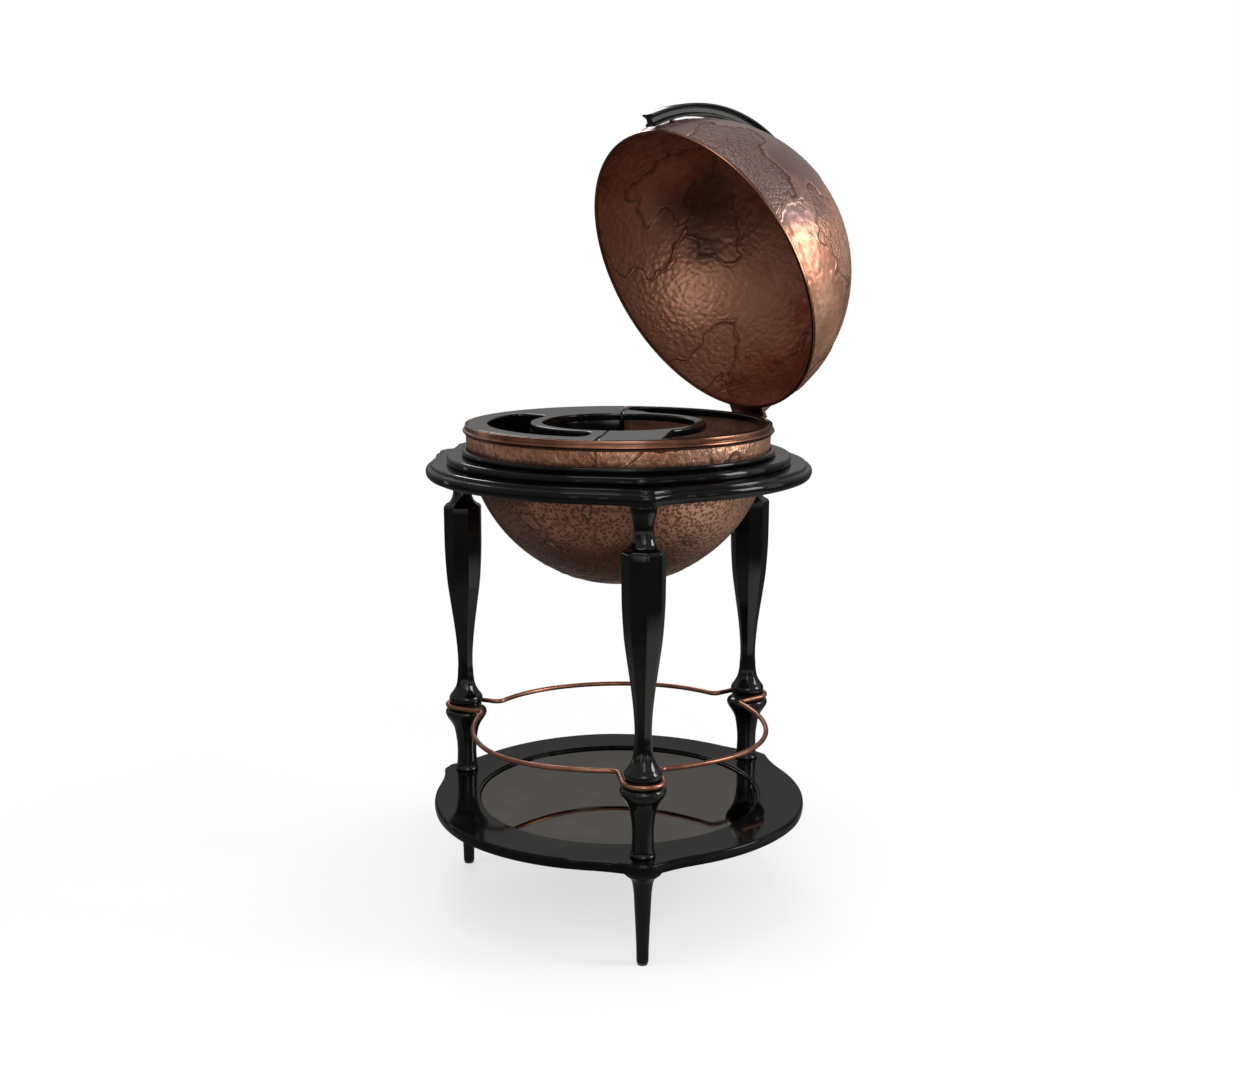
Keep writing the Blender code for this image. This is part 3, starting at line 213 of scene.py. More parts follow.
class Graph:
    """Adds nodes to a shader tree or a geometry tree."""

    def __init__(self, tree: bpy.types.NodeTree) -> None:
        """Starts with an empty tree.

        Args:
            tree: The node tree to fill.
        """
        self.tree = tree
        tree.nodes.clear()

    @staticmethod
    def find(sockets: Iterable[bpy.types.NodeSocket], key: int | str) -> bpy.types.NodeSocket:
        """A socket by its number, its identifier, or the name it shows.

        Args:
            sockets: A node's inputs or outputs.
            key: Which one.

        Returns:
            The socket.
        """
        listed = list(sockets)
        if isinstance(key, int):
            return listed[key]
        for socket in listed:
            if socket.identifier == key:
                return socket
        return next(socket for socket in listed if socket.name == key and socket.enabled)

    def feed(self, socket: bpy.types.NodeSocket, value: object) -> None:
        """Links a value to an input, or types it in.

        Args:
            socket: The input socket.
            value: A Value, a number, a colour, a vector, an object or a material.
        """
        if isinstance(value, Value):
            self.tree.links.new(value.socket, socket)
        elif isinstance(value, tuple) and socket.type == "RGBA":
            socket.default_value = (*value, 1.0)
        else:
            socket.default_value = value

    def add(
        self,
        kind: str,
        settings: dict[str, object] | None = None,
        inputs: dict[int | str, object] | None = None,
        output: int | str = 0,
    ) -> Value:
        """Adds one node.

        Args:
            kind: The node's type.
            settings: Its own settings; stops gives a ramp's places and colours.
            inputs: Values or links of its sockets.
            output: The output wanted.

        Returns:
            That output.
        """
        node = self.tree.nodes.new(kind)
        for name, value in (settings or {}).items():
            if name == "stops":
                self.set_stops(node, value)
            else:
                setattr(node, name, value)
        for key, value in (inputs or {}).items():
            self.feed(self.find(node.inputs, key), value)
        return Value(self, self.find(node.outputs, output))

    def end(self, kind: str, shader: Value) -> None:
        """Links a shader to a new output node.

        Args:
            kind: The output node's type.
            shader: What it shows.
        """
        self.tree.links.new(shader.socket, self.tree.nodes.new(kind).inputs["Surface"])

    @staticmethod
    def set_stops(node: bpy.types.Node, stops: Sequence[tuple[float, Colour]]) -> None:
        """Gives a colour ramp its stops.

        Args:
            node: The ramp.
            stops: Its places, each with its colour.
        """
        ramp = node.color_ramp
        while len(ramp.elements) < len(stops):
            ramp.elements.new(1.0)
        for element, (place, colour) in zip(ramp.elements, stops):
            element.position = place
            element.color = (*colour, 1.0)

    def smooth(self, value: Value, low: float | Value, high: float | Value) -> Value:
        """Rises from 0 to 1 without a kink as a value goes from low to high.

        Args:
            value: What goes from low to high.
            low: Where it starts.
            high: Where it ends.

        Returns:
            The share.
        """
        return self.add(
            "ShaderNodeMapRange",
            {"interpolation_type": "SMOOTHSTEP"},
            {"Value": value, "From Min": low, "From Max": high},
        )

    def ramp(self, value: Value, places: Sequence[float], colours: Sequence[Colour]) -> Value:
        """A colour ramp with a colour at each place."""
        stops = tuple(zip(places, colours))
        return self.add("ShaderNodeValToRGB", {"stops": stops}, {"Fac": value}, "Color")

    def noise(self, place: Value, cloud: Cloud) -> Value:
        """Cloudy noise from 0 to 1.

        Args:
            place: Object coordinates.
            cloud: The noise's settings.

        Returns:
            The noise.
        """
        return self.add(
            "ShaderNodeTexNoise",
            {"noise_dimensions": "4D"},
            {"Vector": place, "W": cloud.seed, "Scale": cloud.scale, "Detail": cloud.detail},
            "Fac",
        )

    def cells(self, place: Value, size: float, feature: str, randomness: float = 1.0) -> Value:
        """Distance to scattered points that lie about a size apart, as a share of it.

        Args:
            place: Object coordinates.
            size: The points' spacing in metres.
            feature: Which distance is taken.
            randomness: How far the points stray from a grid.

        Returns:
            The distance.
        """
        return self.add(
            "ShaderNodeTexVoronoi",
            {"feature": feature},
            {"Vector": place, "Scale": 1.0 / size, "Randomness": randomness},
            "Distance",
        )

    def blend(self, share: Value | float, first: object, second: object) -> Value:
        """Mixes two colours.

        Args:
            share: How much of the second shows.
            first: One colour.
            second: The other colour.

        Returns:
            The mix.
        """
        return self.add(
            "ShaderNodeMix",
            {"data_type": "RGBA"},
            {"Factor_Float": share, "A_Color": first, "B_Color": second},
            "Result_Color",
        )

    def vector(self, operation: str, first: object, second: object, output: str = "Vector") -> Value:
        """One Vector Math node."""
        return self.add("ShaderNodeVectorMath", {"operation": operation}, {0: first, 1: second}, output)

    def reach(self, place: Value, centre: Place) -> Value:
        """Distance from a point."""
        return self.vector("DISTANCE", place, centre, "Value")


def painted(name: str, paint: Callable[[Graph], Value]) -> bpy.types.Material:
    """A material from a function that makes its shader.

    Args:
        name: Its name.
        paint: The function.

    Returns:
        The material.
    """
    material = bpy.data.materials.new(name)
    material.use_nodes = True
    graph = Graph(material.node_tree)
    graph.end("ShaderNodeOutputMaterial", paint(graph))
    return material


@dataclass(frozen=True)
class Finish:
    """What every finish has: a name, the record's slot and a way to paint its nodes."""

    name: str
    slot: Slot

    def material(self) -> bpy.types.Material:
        """The finish's material, made once."""
        return bpy.data.materials.get(self.name) or painted(self.name, self.paint)

    def paint(self, graph: Graph) -> Value:
        """The finish's Principled BSDF."""
        return graph.add("ShaderNodeBsdfPrincipled", {}, self.sockets(graph))

    def sockets(self, graph: Graph) -> dict[int | str, object]:
        """The values and links of the finish's Principled BSDF."""
        raise NotImplementedError

    @staticmethod
    def place(graph: Graph) -> Value:
        """Object coordinates."""
        return graph.add("ShaderNodeTexCoord", {}, {}, "Object")

    @staticmethod
    def relief(graph: Graph, height: Value) -> Value:
        """A normal that follows a height in metres."""
        return graph.add("ShaderNodeBump", {}, {"Strength": 1.0, "Distance": 1.0, "Height": height})


@dataclass(frozen=True)
class Lacquer(Finish):
    """High-gloss black lacquer, with faint polishing haze and the slightest orange peel."""

    colour: Colour = (0.0026, 0.0025, 0.0025)
    haze_colour: Colour = (0.0052, 0.0049, 0.0046)
    gloss_roughness: float = 0.045
    haze_roughness: float = 0.075
    haze: Cloud = Cloud(9.0, 5.0)
    haze_rise: Span = (0.42, 0.68)
    wipe: Cloud = Cloud(126.0, 2.0, 3.0)
    wipe_roughness: float = 0.02
    peel: Cloud = Cloud(250.0, 1.0, 7.0)
    peel_depth: float = 0.0000035
    specular: float = 0.42

    def sockets(self, graph: Graph) -> dict[int | str, object]:
        """The values and links of the finish's Principled BSDF.

        Args:
            graph: The graph that gets the nodes.

        Returns:
            What goes into each socket, by its name.
        """
        place = self.place(graph)
        haze = graph.smooth(graph.noise(place, self.haze), *self.haze_rise)
        wipe = graph.noise(place, self.wipe) * self.wipe_roughness
        peel = graph.noise(place, self.peel)
        return {
            "Base Color": graph.blend(haze, self.colour, self.haze_colour),
            "Roughness": haze * self.haze_roughness + wipe + self.gloss_roughness,
            "Specular IOR Level": self.specular,
            "Normal": self.relief(graph, peel * self.peel_depth),
        }


@dataclass(frozen=True)
class SmokedGlass(Finish):
    """Dark polished glass with faint wiping marks."""

    colour: Colour = (0.110, 0.100, 0.088)
    smear_colour: Colour = (0.140, 0.128, 0.113)
    metallic: float = 1.0
    clean_roughness: float = 0.02
    smear_roughness: float = 0.06
    smear: Cloud = Cloud(11.0, 5.0)
    smear_rise: Span = (0.45, 0.7)

    def sockets(self, graph: Graph) -> dict[int | str, object]:
        """The values and links of the finish's Principled BSDF.

        Args:
            graph: The graph that gets the nodes.

        Returns:
            What goes into each socket, by its name.
        """
        smear = graph.smooth(graph.noise(self.place(graph), self.smear), *self.smear_rise)
        return {
            "Base Color": graph.blend(smear, self.colour, self.smear_colour),
            "Metallic": self.metallic,
            "Roughness": smear * self.smear_roughness + self.clean_roughness,
        }


@dataclass(frozen=True)
class Felt(Finish):
    """Dense dark felt under the feet."""

    colour: Colour = (0.020, 0.020, 0.021)
    fibre_colour: Colour = (0.055, 0.054, 0.052)
    fibres: Cloud = Cloud(1.0 / 0.0007, 4.0)
    fibre_depth: float = 0.00021
    roughness: float = 0.80
    fibre_roughness: float = 0.15

    def sockets(self, graph: Graph) -> dict[int | str, object]:
        """The values and links of the finish's Principled BSDF.

        Args:
            graph: The graph that gets the nodes.

        Returns:
            What goes into each socket, by its name.
        """
        fibres = graph.noise(self.place(graph), self.fibres)
        return {
            "Base Color": graph.blend(fibres, self.colour, self.fibre_colour),
            "Roughness": fibres * self.fibre_roughness + self.roughness,
            "Normal": self.relief(graph, fibres * self.fibre_depth),
        }


@dataclass(frozen=True)
class PlainMetal(Finish):
    """Drawn or cast metal with soft tonal changes, fine scratches and darker stains."""

    colour: Colour = (0.45, 0.45, 0.46)
    stain_colour: Colour = (0.25, 0.25, 0.26)
    bright_colour: Colour = (0.55, 0.55, 0.56)
    stops: tuple[float, float, float] = (0.30, 0.50, 0.72)
    metallic: float = 1.0
    low_roughness: float = 0.22
    high_roughness: float = 0.42
    blotch: Cloud = Cloud(26.0, 5.0)
    grain: Cloud = Cloud(1.0 / 0.0012, 2.0, 4.0)
    grain_depth: float = 0.000012

    def sockets(self, graph: Graph) -> dict[int | str, object]:
        """The values and links of the finish's Principled BSDF.

        Args:
            graph: The graph that gets the nodes.

        Returns:
            What goes into each socket, by its name.
        """
        place = self.place(graph)
        blotch = graph.noise(place, self.blotch)
        grain = graph.noise(place, self.grain)
        colours = (self.stain_colour, self.colour, self.bright_colour)
        return {
            "Base Color": graph.ramp(blotch, self.stops, colours),
            "Metallic": self.metallic,
            "Roughness": blotch * (self.high_roughness - self.low_roughness) + self.low_roughness,
            "Normal": self.relief(graph, grain * self.grain_depth),
        }


@dataclass(frozen=True)
class Spot:
    """A cloudy round patch of colour about a point of the frame: its middle and its reach."""

    centre: Place
    reach: float


@dataclass(frozen=True)
class Tint:
    """Cloudy patches of one colour, and how much of it shows in their middle."""

    colour: Colour
    share: float
    spots: tuple[Spot, ...] = ()
    cloud_scale: float = 9.0
    cloud_detail: float = 5.0
    first_seed: float = 5.0
    raggedness: float = 1.5
    core: float = 0.5

    def over(self, graph: Graph, place: Value, under: Value) -> Value:
        """Blends the patches over a colour.

        Args:
            graph: The graph.
            place: Object coordinates.
            under: The colour below.

        Returns:
            The blended colour.
        """
        for k, spot in enumerate(self.spots):
            cloud = Cloud(self.cloud_scale, self.cloud_detail, self.first_seed + k)
            clouds = (graph.noise(place, cloud) - NOISE_MEAN) * spot.reach * self.raggedness
            ragged = graph.reach(place, spot.centre) + clouds
            inside = 1.0 - graph.smooth(ragged, spot.reach * self.core, spot.reach)
            under = graph.blend(inside * self.share, under, self.colour)
        return under


@dataclass(frozen=True)
class HammeredCopper(Finish):
    """Copper sheet with hammer dents, punched dots, chased shore lines, and tinted patches: patina, painted
    highlights and painted shade.

    The mesh carries an attribute named shore: 0 on a chased line, above 0 on raised land and
    below 0 on the punched ground between.
    """

    deep_colour: Colour = (0.22, 0.086, 0.051)
    colour: Colour = (0.44, 0.202, 0.124)
    bright_colour: Colour = (0.66, 0.370, 0.245)
    stops: tuple[float, float, float] = (0.36, 0.50, 0.66)
    metallic: float = 0.76
    tints: tuple[Tint, ...] = ()
    blotch: Cloud = Cloud(6.5, 6.0, 1.0)
    fine: Cloud = Cloud(70.0, 4.0, 2.0)
    fine_share: float = 0.28
    wander_scale: float = 60.0
    wander_detail: float = 1.0
    wander: float = 0.006
    dent_size: float = 0.0110
    dent_depth: float = 0.00120
    dot_colour: Colour = (0.066, 0.027, 0.018)
    dot_size: float = 0.0061
    dot_depth: float = 0.0006
    dot_share: float = 1.0
    dot_scatter: float = 0.75
    dot_fall: Span = (0.30, 0.58)
    dot_tint: float = 0.70
    dot_calm: float = 0.35
    dot_roughness: float = 0.15
    uneven: Cloud = Cloud(16.0, 2.0, 9.0)
    uneven_rise: Span = (0.20, 0.38)
    inland_rise: Span = (-0.004, 0.008)
    crinkle: float = 0.00012
    strokes: Cloud = Cloud(1.0 / 0.0060, 2.0, 12.0)
    stroke_stretch: Place = (1.0, 1.0, 0.35)
    stroke_height: float = 10.0
    stroke_fade: float = 0.012
    stroke_cover: float = 0.8
    stroke_depth: float = 0.0034
    line_width: float = 0.010
    line_core: float = 0.25
    line_depth: float = 0.0006
    line_colour: Colour = (0.56, 0.33, 0.235)
    line_share: float = 0.25
    groove_offset: float = 1.4
    groove_share: float = 0.65
    low_roughness: float = 0.26
    high_roughness: float = 0.42

    def sockets(self, graph: Graph) -> dict[int | str, object]:
        """The values and links of the finish's Principled BSDF.

        Args:
            graph: The graph that gets the nodes.

        Returns:
            What goes into each socket, by its name.
        """
        place = self.place(graph)
        shore = graph.add("ShaderNodeAttribute", {"attribute_name": "shore"}, {}, "Fac")
        line = 1.0 - graph.smooth(abs(shore), self.line_width * self.line_core, self.line_width)
        beside = abs(shore + self.line_width * self.groove_offset)
        groove = 1.0 - graph.smooth(beside, 0.0, self.line_width)
        noise = {"Vector": place, "Scale": self.wander_scale, "Detail": self.wander_detail}
        wander = graph.add("ShaderNodeTexNoise", {}, noise, "Color")
        shaken = graph.vector("ADD", place, graph.vector("MULTIPLY", wander, (self.wander,) * 3))
        dents = graph.cells(shaken, self.dent_size, "SMOOTH_F1")
        level = graph.add("ShaderNodeSeparateXYZ", {}, {0: place}, "Z")
        upper = graph.smooth(level, self.stroke_height, self.stroke_height + self.stroke_fade)
        strokes = graph.noise(graph.vector("MULTIPLY", place, self.stroke_stretch), self.strokes)
        dots = 1.0 - graph.smooth(graph.cells(shaken, self.dot_size, "F1", self.dot_scatter), *self.dot_fall)
        dots = dots * (1.0 - graph.smooth(shore, *self.inland_rise))
        dots = dots * graph.smooth(graph.noise(place, self.uneven), *self.uneven_rise)
        dots = dots * self.dot_share * (1.0 - upper * self.stroke_cover)
        blotch = graph.noise(place, self.blotch)
        fine = graph.noise(place, self.fine)
        tone = blotch * (1.0 - self.fine_share) + fine * self.fine_share
        colour = graph.ramp(tone, self.stops, (self.deep_colour, self.colour, self.bright_colour))
        for tint in self.tints:
            colour = tint.over(graph, place, colour)
        colour = graph.blend(dots * self.dot_tint, colour, self.dot_colour)
        colour = graph.blend(groove * self.groove_share, colour, self.dot_colour)
        colour = graph.blend(line * self.line_share, colour, self.line_colour)
        height = dents * (self.dent_depth * (1.0 - self.dot_calm * self.dot_share))
        height = height - dots * self.dot_depth + line * self.line_depth - groove * self.line_depth
        height = height + fine * self.crinkle + strokes * upper * self.stroke_depth
        spread = self.high_roughness - self.low_roughness
        return {
            "Base Color": colour,
            "Metallic": self.metallic,
            "Roughness": blotch * spread + self.low_roughness + dots * self.dot_roughness,
            "Normal": self.relief(graph, height),
        }


# Painted light: a pale copper patch painted on the bowl's right side, standing in for the light that falls
# there.
BOWL_PAINTED_LIGHT = Tint((0.66, 0.370, 0.245), 0.6, (Spot((0.252, -0.010, 0.770), 0.19),))
# Painted shade: darker copper painted on the bowl's bottom and left side, where less light falls.
BOWL_PAINTED_SHADE = Tint(
    (0.115, 0.055, 0.038),
    0.75,
    (Spot((0.02, -0.09, 0.560), 0.25), Spot((-0.10, -0.285, 0.660), 0.19)),
)
DOME_PATINA = Tint((0.185, 0.118, 0.134), 0.85, (Spot((0.13, 0.09, 1.33), 0.25),))
DOME_BLOOM = Tint(
    (0.36, 0.275, 0.235),
    0.35,
    (
        Spot((0.101, 0.021, 1.289), 0.07),
        Spot((0.181, 0.047, 1.240), 0.06),
        Spot((0.120, 0.100, 1.300), 0.08),
        Spot((0.040, 0.120, 1.320), 0.08),
        Spot((0.215, 0.085, 1.190), 0.05),
    ),
)
# Painted highlight: a pale glow painted inside the dome where a softbox's reflection shows.
INNER_PAINTED_HIGHLIGHT = Tint(
    (0.42, 0.215, 0.145),
    0.6,
    (Spot((-0.191, 0.248, 1.022), 0.25), Spot((-0.247, 0.113, 1.105), 0.17)),
)
INNER_STAINS = Tint(
    (0.050, 0.034, 0.030),
    0.62,
    (Spot((-0.149, 0.246, 1.195), 0.085), Spot((-0.179, 0.261, 1.110), 0.050)),
)

LACQUER = Lacquer("black_lacquer_gloss", Slot.LACQUER)
SHELF_LACQUER = Lacquer("black_lacquer_shelf", Slot.LACQUER, specular=0.14)
RING_LACQUER = Lacquer("black_lacquer_rings", Slot.LACQUER, specular=0.22)
# Painted sheen: the arc's lacquer has a paler base colour that stands in for the light its side reflects.
SHEEN_PAINTED_LACQUER = Lacquer(
    "black_lacquer_worn",
    Slot.LACQUER,
    colour=(0.0105, 0.0096, 0.0086),
    haze_colour=(0.026, 0.0250, 0.0230),
    gloss_roughness=0.08,
    haze_roughness=0.08,
    specular=0.08,
    haze=Cloud(16.0, 5.0),
    wipe=Cloud(224.0, 2.0, 3.0),
)
GLASS = SmokedGlass("smoked_glass", Slot.GLASS)
FELT = Felt("dark_felt", Slot.FELT)
STEEL = PlainMetal("satin_steel", Slot.STEEL)
ROD_COPPER = PlainMetal(
    "drawn_copper",
    Slot.COPPER,
    colour=(0.36, 0.16, 0.105),
    stain_colour=(0.20, 0.085, 0.055),
    bright_colour=(0.50, 0.26, 0.18),
)
BRONZE = PlainMetal(
    "darkened_bronze",
    Slot.BRONZE,
    colour=(0.13, 0.070, 0.048),
    stain_colour=(0.05, 0.030, 0.024),
    bright_colour=(0.34, 0.18, 0.12),
)
BAND_COPPER = PlainMetal(
    "smooth_copper",
    Slot.COPPER,
    colour=(0.30, 0.135, 0.086),
    stain_colour=(0.15, 0.062, 0.040),
    bright_colour=(0.46, 0.245, 0.168),
    low_roughness=0.18,
    high_roughness=0.34,
    blotch=Cloud(14.0, 5.0),
)
BOWL_COPPER = HammeredCopper(
    "hammered_copper_bowl",
    Slot.COPPER,
    tints=(BOWL_PAINTED_LIGHT, BOWL_PAINTED_SHADE),
    stroke_height=0.785,
)
WELL_COPPER = HammeredCopper(
    "dull_copper_inside_bowl",
    Slot.COPPER,
    deep_colour=(0.10, 0.042, 0.028),
    colour=(0.22, 0.102, 0.066),
    bright_colour=(0.38, 0.200, 0.135),
    dent_depth=0.00070,
    dot_share=0.0,
    line_share=0.0,
    groove_share=0.0,
    line_depth=0.0,
    low_roughness=0.36,
    high_roughness=0.50,
)
DOME_COPPER = HammeredCopper(
    "hammered_copper_dome",
    Slot.COPPER,
    tints=(DOME_PATINA, DOME_BLOOM),
    dot_share=0.70,
)
INNER_COPPER = HammeredCopper(
    "hammered_copper_inside",
    Slot.COPPER,
    deep_colour=(0.17, 0.044, 0.024),
    colour=(0.29, 0.092, 0.054),
    bright_colour=(0.42, 0.215, 0.145),
    tints=(INNER_PAINTED_HIGHLIGHT, INNER_STAINS),
    crinkle=0.00060,
    dent_size=0.0085,
    dent_depth=0.00140,
    dot_share=0.0,
    line_colour=(0.16, 0.070, 0.048),
    line_width=0.007,
    low_roughness=0.33,
    high_roughness=0.48,
)


def linked(name: str, data: bpy.types.ID) -> bpy.types.Object:
    """Adds an object to the scene.

    Args:
        name: Its name.
        data: What it shows or shines.

    Returns:
        The object.
    """
    thing = bpy.data.objects.new(name, data)
    bpy.context.scene.collection.objects.link(thing)
    return thing


def baked(holder: bpy.types.Object) -> bpy.types.Mesh:
    """The mesh that an object shows; the object goes.

    Args:
        holder: The object.

    Returns:
        The mesh.
    """
    evaluated = holder.evaluated_get(bpy.context.evaluated_depsgraph_get())
    mesh = bpy.data.meshes.new_from_object(evaluated)
    bpy.data.objects.remove(holder)
    return mesh


def polar(radius: float, angle: float) -> Plan:
    """A plan point."""
    return (radius * math.cos(angle), radius * math.sin(angle))


def circle(radius: float, height: float, steps: int) -> list[Place]:
    """Points evenly spaced on a level circle about the Z axis."""
    return [(*polar(radius, FULL_TURN * step / steps), height) for step in range(steps)]


def arc(radius: float, start: float, end: float, step: float = math.radians(1.5)) -> list[Plan]:
    """Plan points along an arc, both ends included."""
    count = max(1, math.ceil(abs(end - start) / step))
    return [polar(radius, start + (end - start) * k / count) for k in range(count + 1)]


def turn_at(before: Vector, here: Vector, after: Vector) -> float:
    """How far a line turns at a point.

    Args:
        before: The point before.
        here: The point.
        after: The point after.

    Returns:
        The angle.
    """
    first = here - before
    second = after - here
    if first.length < SMALLEST or second.length < SMALLEST:
        return 0.0
    return first.angle(second)


def flow(points: Sequence[Plan], steps: int = 6, ease: float = 0.0005, loop: bool = False) -> list[Plan]:
    """Runs a smooth line through points and eases the corners that it keeps.

    Args:
        points: The points of the line.
        steps: Points added on each curved stretch.
        ease: How far from a corner its rounding starts.
        loop: Whether the line closes.

    Returns:
        The denser line.
    """
    nodes = [Vector(point) for point in points]
    count = len(nodes)
    sharp = []
    for k, here in enumerate(nodes):
        inner = loop or 0 < k < count - 1
        turn = turn_at(nodes[k - 1], here, nodes[(k + 1) % count]) if inner else 0.0
        sharp.append(not inner or turn > CORNER)
    line: list[Vector] = []
    for k in range(count if loop else count - 1):
        after = (k + 1) % count
        start = nodes[k]
        end = nodes[after]
        span = end - start
        leave = span if sharp[k] else (end - nodes[k - 1]).normalized() * span.length
        arrive = span if sharp[after] else (nodes[(k + 2) % count] - start).normalized() * span.length
        straight = leave.angle(span, 0.0) + arrive.angle(span, 0.0) < STRAIGHT
        pieces = 1 if straight else steps
        for piece in range(pieces):
            t = piece / pieces
            point = start * (2.0 * t**3 - 3.0 * t**2 + 1.0) + leave * (t**3 - 2.0 * t**2 + t)
            point = point + end * (3.0 * t**2 - 2.0 * t**3) + arrive * (t**3 - t**2)
            line.append(point)
    if not loop:
        line.append(nodes[-1])
    return [tuple(point) for point in eased(line, ease, loop)]


def eased(line: Sequence[Vector], ease: float, loop: bool) -> list[Vector]:
    """Rounds the corners of a line.

    Args:
        line: The points.
        ease: How far from a corner its rounding starts.
        loop: Whether the line closes.

    Returns:
        The line with three points at each corner.
    """
    count = len(line)
    result = []
    for k, here in enumerate(line):
        before = line[k - 1]
        after = line[(k + 1) % count]
        inner = loop or 0 < k < count - 1
        if not inner or turn_at(before, here, after) < CORNER:
            result.append(here)
            continue
        first = before - here
        second = after - here
        first = here + first * min(ease / first.length, LARGEST_EASE)
        second = here + second * min(ease / second.length, LARGEST_EASE)
        result += [first, first * 0.25 + here * 0.5 + second * 0.25, second]
    return result


def ball_line(radius: float, centre: float, start: float, end: float, rows: int) -> list[Plan]:
    """Profile points of a ball.

    Args:
        radius: Its radius.
        centre: Height of its middle on the Z axis.
        start: Angle over the horizon of the first point.
        end: Angle over the horizon of the last point.
        rows: Steps between them.

    Returns:
        Points of radius and height.
    """
    rises = [start + (end - start) * k / rows for k in range(rows + 1)]
    return [(max(radius * math.cos(rise), 0.0), centre + radius * math.sin(rise)) for rise in rises]


def finished_mesh(build: bmesh.types.BMesh, name: str, sharp: float = SHARP) -> bpy.types.Mesh:
    """Merges doubles, turns faces outwards, and keeps level faces flat beside rounded edges.

    Args:
        build: The bmesh, which is freed.
        name: The mesh's name.
        sharp: The least turn that shows as an edge.

    Returns:
        The mesh.
    """
    bmesh.ops.remove_doubles(build, verts=build.verts, dist=MERGE_DISTANCE)
    bmesh.ops.recalc_face_normals(build, faces=build.faces)
    for face in build.faces:
        face.smooth = True
    for edge in build.edges:
        if len(edge.link_faces) != 2:
            continue
        first, second = edge.link_faces
        level = (abs(first.normal.z) > LEVEL) != (abs(second.normal.z) > LEVEL)
        turn = edge.calc_face_angle(0.0)
        edge.smooth = not (turn > sharp or (level and turn > LEVEL_SHARP))
    mesh = bpy.data.meshes.new(name)
    build.to_mesh(mesh)
    build.free()
    return mesh


def join_rows(
    build: bmesh.types.BMesh, rows: Sequence[Sequence[bmesh.types.BMVert]], count: int, closed: bool
) -> None:
    """Fills the faces between rows of points.

    Args:
        build: The bmesh.
        rows: The rows; one of a single point is a pole.
        count: How many faces go round.
        closed: Whether the last row joins the first.
    """
    pairs = list(zip(rows, rows[1:]))
    if closed:
        pairs.append((rows[-1], rows[0]))
    for low, high in pairs:
        for k in range(count):
            after = (k + 1) % count
            loop = [low[k % len(low)], low[after % len(low)], high[after % len(high)], high[k % len(high)]]
            corners = list(dict.fromkeys(loop))
            if len(corners) > 2:
                build.faces.new(corners)


def skinned(name: str, rings: Sequence[Sequence[Place]], closed: bool = False) -> bpy.types.Mesh:
    """Skins rings, with as many faces round as the first has points.

    Args:
        name: The mesh's name.
        rings: The rings, in order.
        closed: Whether the last ring joins the first; otherwise both ends get a face.

    Returns:
        The mesh.
    """
    build = bmesh.new()
    rows = [[build.verts.new(point) for point in ring] for ring in rings]
    join_rows(build, rows, len(rows[0]), closed)
    if not closed:
        build.faces.new(list(reversed(rows[0])))
        build.faces.new(rows[-1])
    return finished_mesh(build, name)


def turned(name: str, profile: Sequence[Plan], steps: int, closed: bool = False) -> bpy.types.Mesh:
    """Spins (radius, height) points about the Z axis.

    Args:
        name: The mesh's name.
        profile: The points; one at radius 0 becomes a pole.
        steps: How many steps make the circle.
        closed: Whether the profile is a loop.

    Returns:
        The mesh.
    """
    build = bmesh.new()
    rows = []
    for radius, height in profile:
        points = [(0.0, 0.0, height)] if radius < SMALLEST else circle(radius, height, steps)
        rows.append([build.verts.new(point) for point in points])
    join_rows(build, rows, steps, closed)
    return finished_mesh(build, name)


def line_inside(mesh: bpy.types.Mesh, middle: Vector, finish: Finish) -> bpy.types.Mesh:
    """Gives the faces of a round shell that look at its middle a finish of their own.

    Args:
        mesh: The shell, which has one material.
        middle: The middle of its curve.
        finish: The finish of its inside.

    Returns:
        The same mesh.
    """
    mesh.materials.append(finish.material())
    for face in mesh.polygons:
        inward = (middle - face.center).dot(face.normal) > 0.0
        face.material_index = 1 if inward else 0
    return mesh


def plate(
    name: str, outlines: Sequence[Sequence[Plan]], bottom: float, top: float, edge: float
) -> bpy.types.Mesh:
    """A level board with rounded edges.

    Args:
        name: The mesh's name.
        outlines: Its rim and then its holes, in plan.
        bottom: Height of the underside.
        top: Height of the upper side.
        edge: Radius of its edges.

    Returns:
        The mesh.
    """
    curve = bpy.data.curves.new(name, "CURVE")
    curve.dimensions = "2D"
    curve.fill_mode = "BOTH"
    curve.extrude = (top - bottom) / 2.0 - edge
    curve.bevel_depth = edge
    curve.bevel_resolution = PLATE_EDGE_STEPS
    curve.offset = -edge
    for outline in outlines:
        spline = curve.splines.new("POLY")
        spline.points.add(len(outline) - 1)
        for point, (x, y) in zip(spline.points, outline):
            point.co = (x, y, 0.0, 1.0)
        spline.use_cyclic_u = True
    build = bmesh.new()
    build.from_mesh(baked(linked(name, curve)))
    bmesh.ops.translate(build, verts=build.verts, vec=(0.0, 0.0, (bottom + top) / 2.0))
    return finished_mesh(build, name, PLATE_SHARP)


